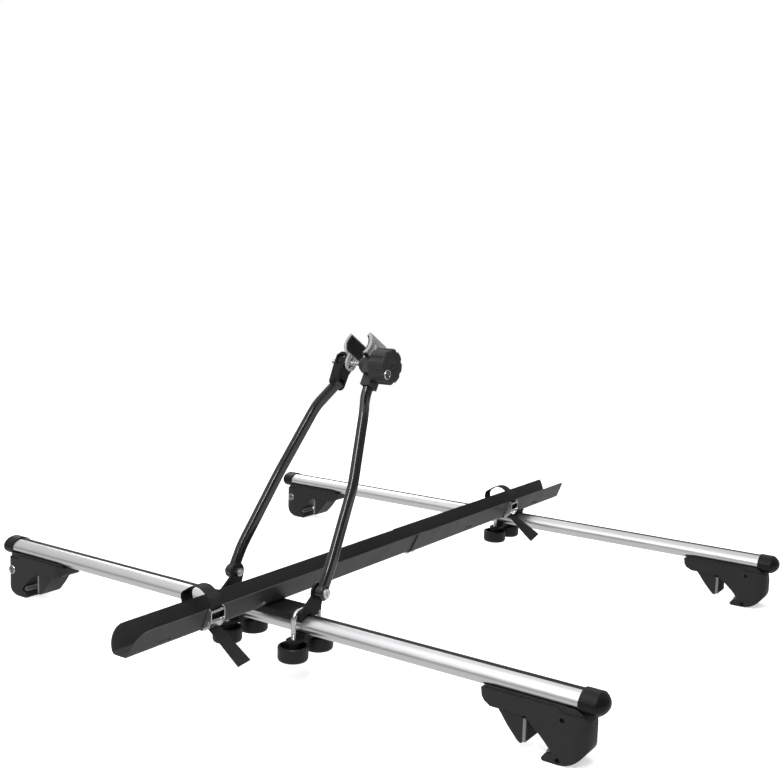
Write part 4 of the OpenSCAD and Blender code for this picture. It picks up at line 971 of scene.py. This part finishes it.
def strap_route(o):
    """The strap's middle line in the plane across the tray, from the tail's end to the sewn end."""
    near = STRAP_T_MM / 2 + SEAT_MM
    flip = np.array([-1, 1])
    leaves = wall_point(o, BUCKLE_OUT_MM, BUCKLE_LOW_MM)
    tail = leaves - TAIL_MM * np.array([np.cos(TAIL_DIP), np.sin(TAIL_DIP)])
    behind = [wall_point(o, near + out, up) for out, up in BEHIND_BUCKLE_MM]
    lift = wall_point(o, near, WALL_MM / 2 + LIFT_MM)
    shoulder = np.array([SHOULDER_SHARE * TRAY_TOP_MM, STRAP_TOP_MM - SHOULDER_DROP_MM])
    crown = np.array([CROWN_HALF_MM, STRAP_TOP_MM - STRAP_T_MM / 2])
    far_wall = wall_point(o, near, 0) * flip
    under = np.array([corner_y(o + near), -o - near])
    corners = [tail, leaves, *behind, lift, shoulder * flip, crown * flip, crown, shoulder,
               lift * flip, far_wall, under, under * flip, wall_point(o, near, SEWN_LOW_MM)]
    return bent(corners, [TIGHT_MM] * 4 + LOOP_BENDS_MM + [TIGHT_MM] * 4, STRAP_BEND_STEPS)


print("half the tray's floor:", corner_y(0.0), "mm; points in a route:", len(strap_route(0.0)))

# %% [markdown]
# The CAD solid is a plain band, so the strap is swept again with rounded edges. Its UV map holds
# metres along and across the band for the weave. The free tails twist as webbing does when it is
# let go, the rear one more than the front one.

# %% Straps
STRAP_STEP_MM, STRAP_POINTS, EDGE_POWER, TWIST_ENDS_MM = 1.2, 15, 14, 8.0
STRAPS = (("front_strap", FRONT_X - 160, 0.0, "front_tray", -14),
          ("rear_strap", REAR_X - 66, 2.2, "rear_tray", -46))


def strap(name, x, o, twist):
    """Sweeps a flat section with rounded edges along the route. The free tail turns about its own
    line, by twist at its end and by nothing at the buckle."""
    route, run = resampled(strap_route(o), STRAP_STEP_MM)
    path = np.column_stack([np.full(len(route), x), route + [TRAY_Y, FLOOR_Z]]) * MM
    across = STRAP_W_MM / 2 * np.sin(np.linspace(-np.pi / 2, np.pi / 2, STRAP_POINTS))
    thick = STRAP_T_MM / 2 * (1 - (np.abs(across) / (STRAP_W_MM / 2)) ** EDGE_POWER) ** 0.5
    upper, lower = np.stack([across, thick], -1), np.stack([across, -thick], -1)
    ring = np.concatenate([upper, lower[-2:0:-1]])
    uv = np.stack(np.broadcast_arrays(run[:, None], ring[None, :, 0]), -1) * MM
    free = np.clip(1 - run / (TAIL_MM - TWIST_ENDS_MM), 0, 1)[:, None]
    c, s = np.cos(twist * free), np.sin(twist * free)
    turned_ring = np.stack([ring[:, 1] * c - ring[:, 0] * s, ring[:, 1] * s + ring[:, 0] * c], -1)
    grid = sweep(path, turned_ring * MM, X_AXIS)
    piece = Surface().grid(grid, wrap_columns=True, caps=True, uv=uv).build(
        f"{name}_webbing", webbing, "base", "webbing")
    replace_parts(piece, name)
    print(f"{name}: {STRAP_W_MM:.0f} x {run[-1]:.0f} mm")


for name, x, o, tray, twist_deg in STRAPS:
    strap(name, x, o, np.radians(twist_deg))
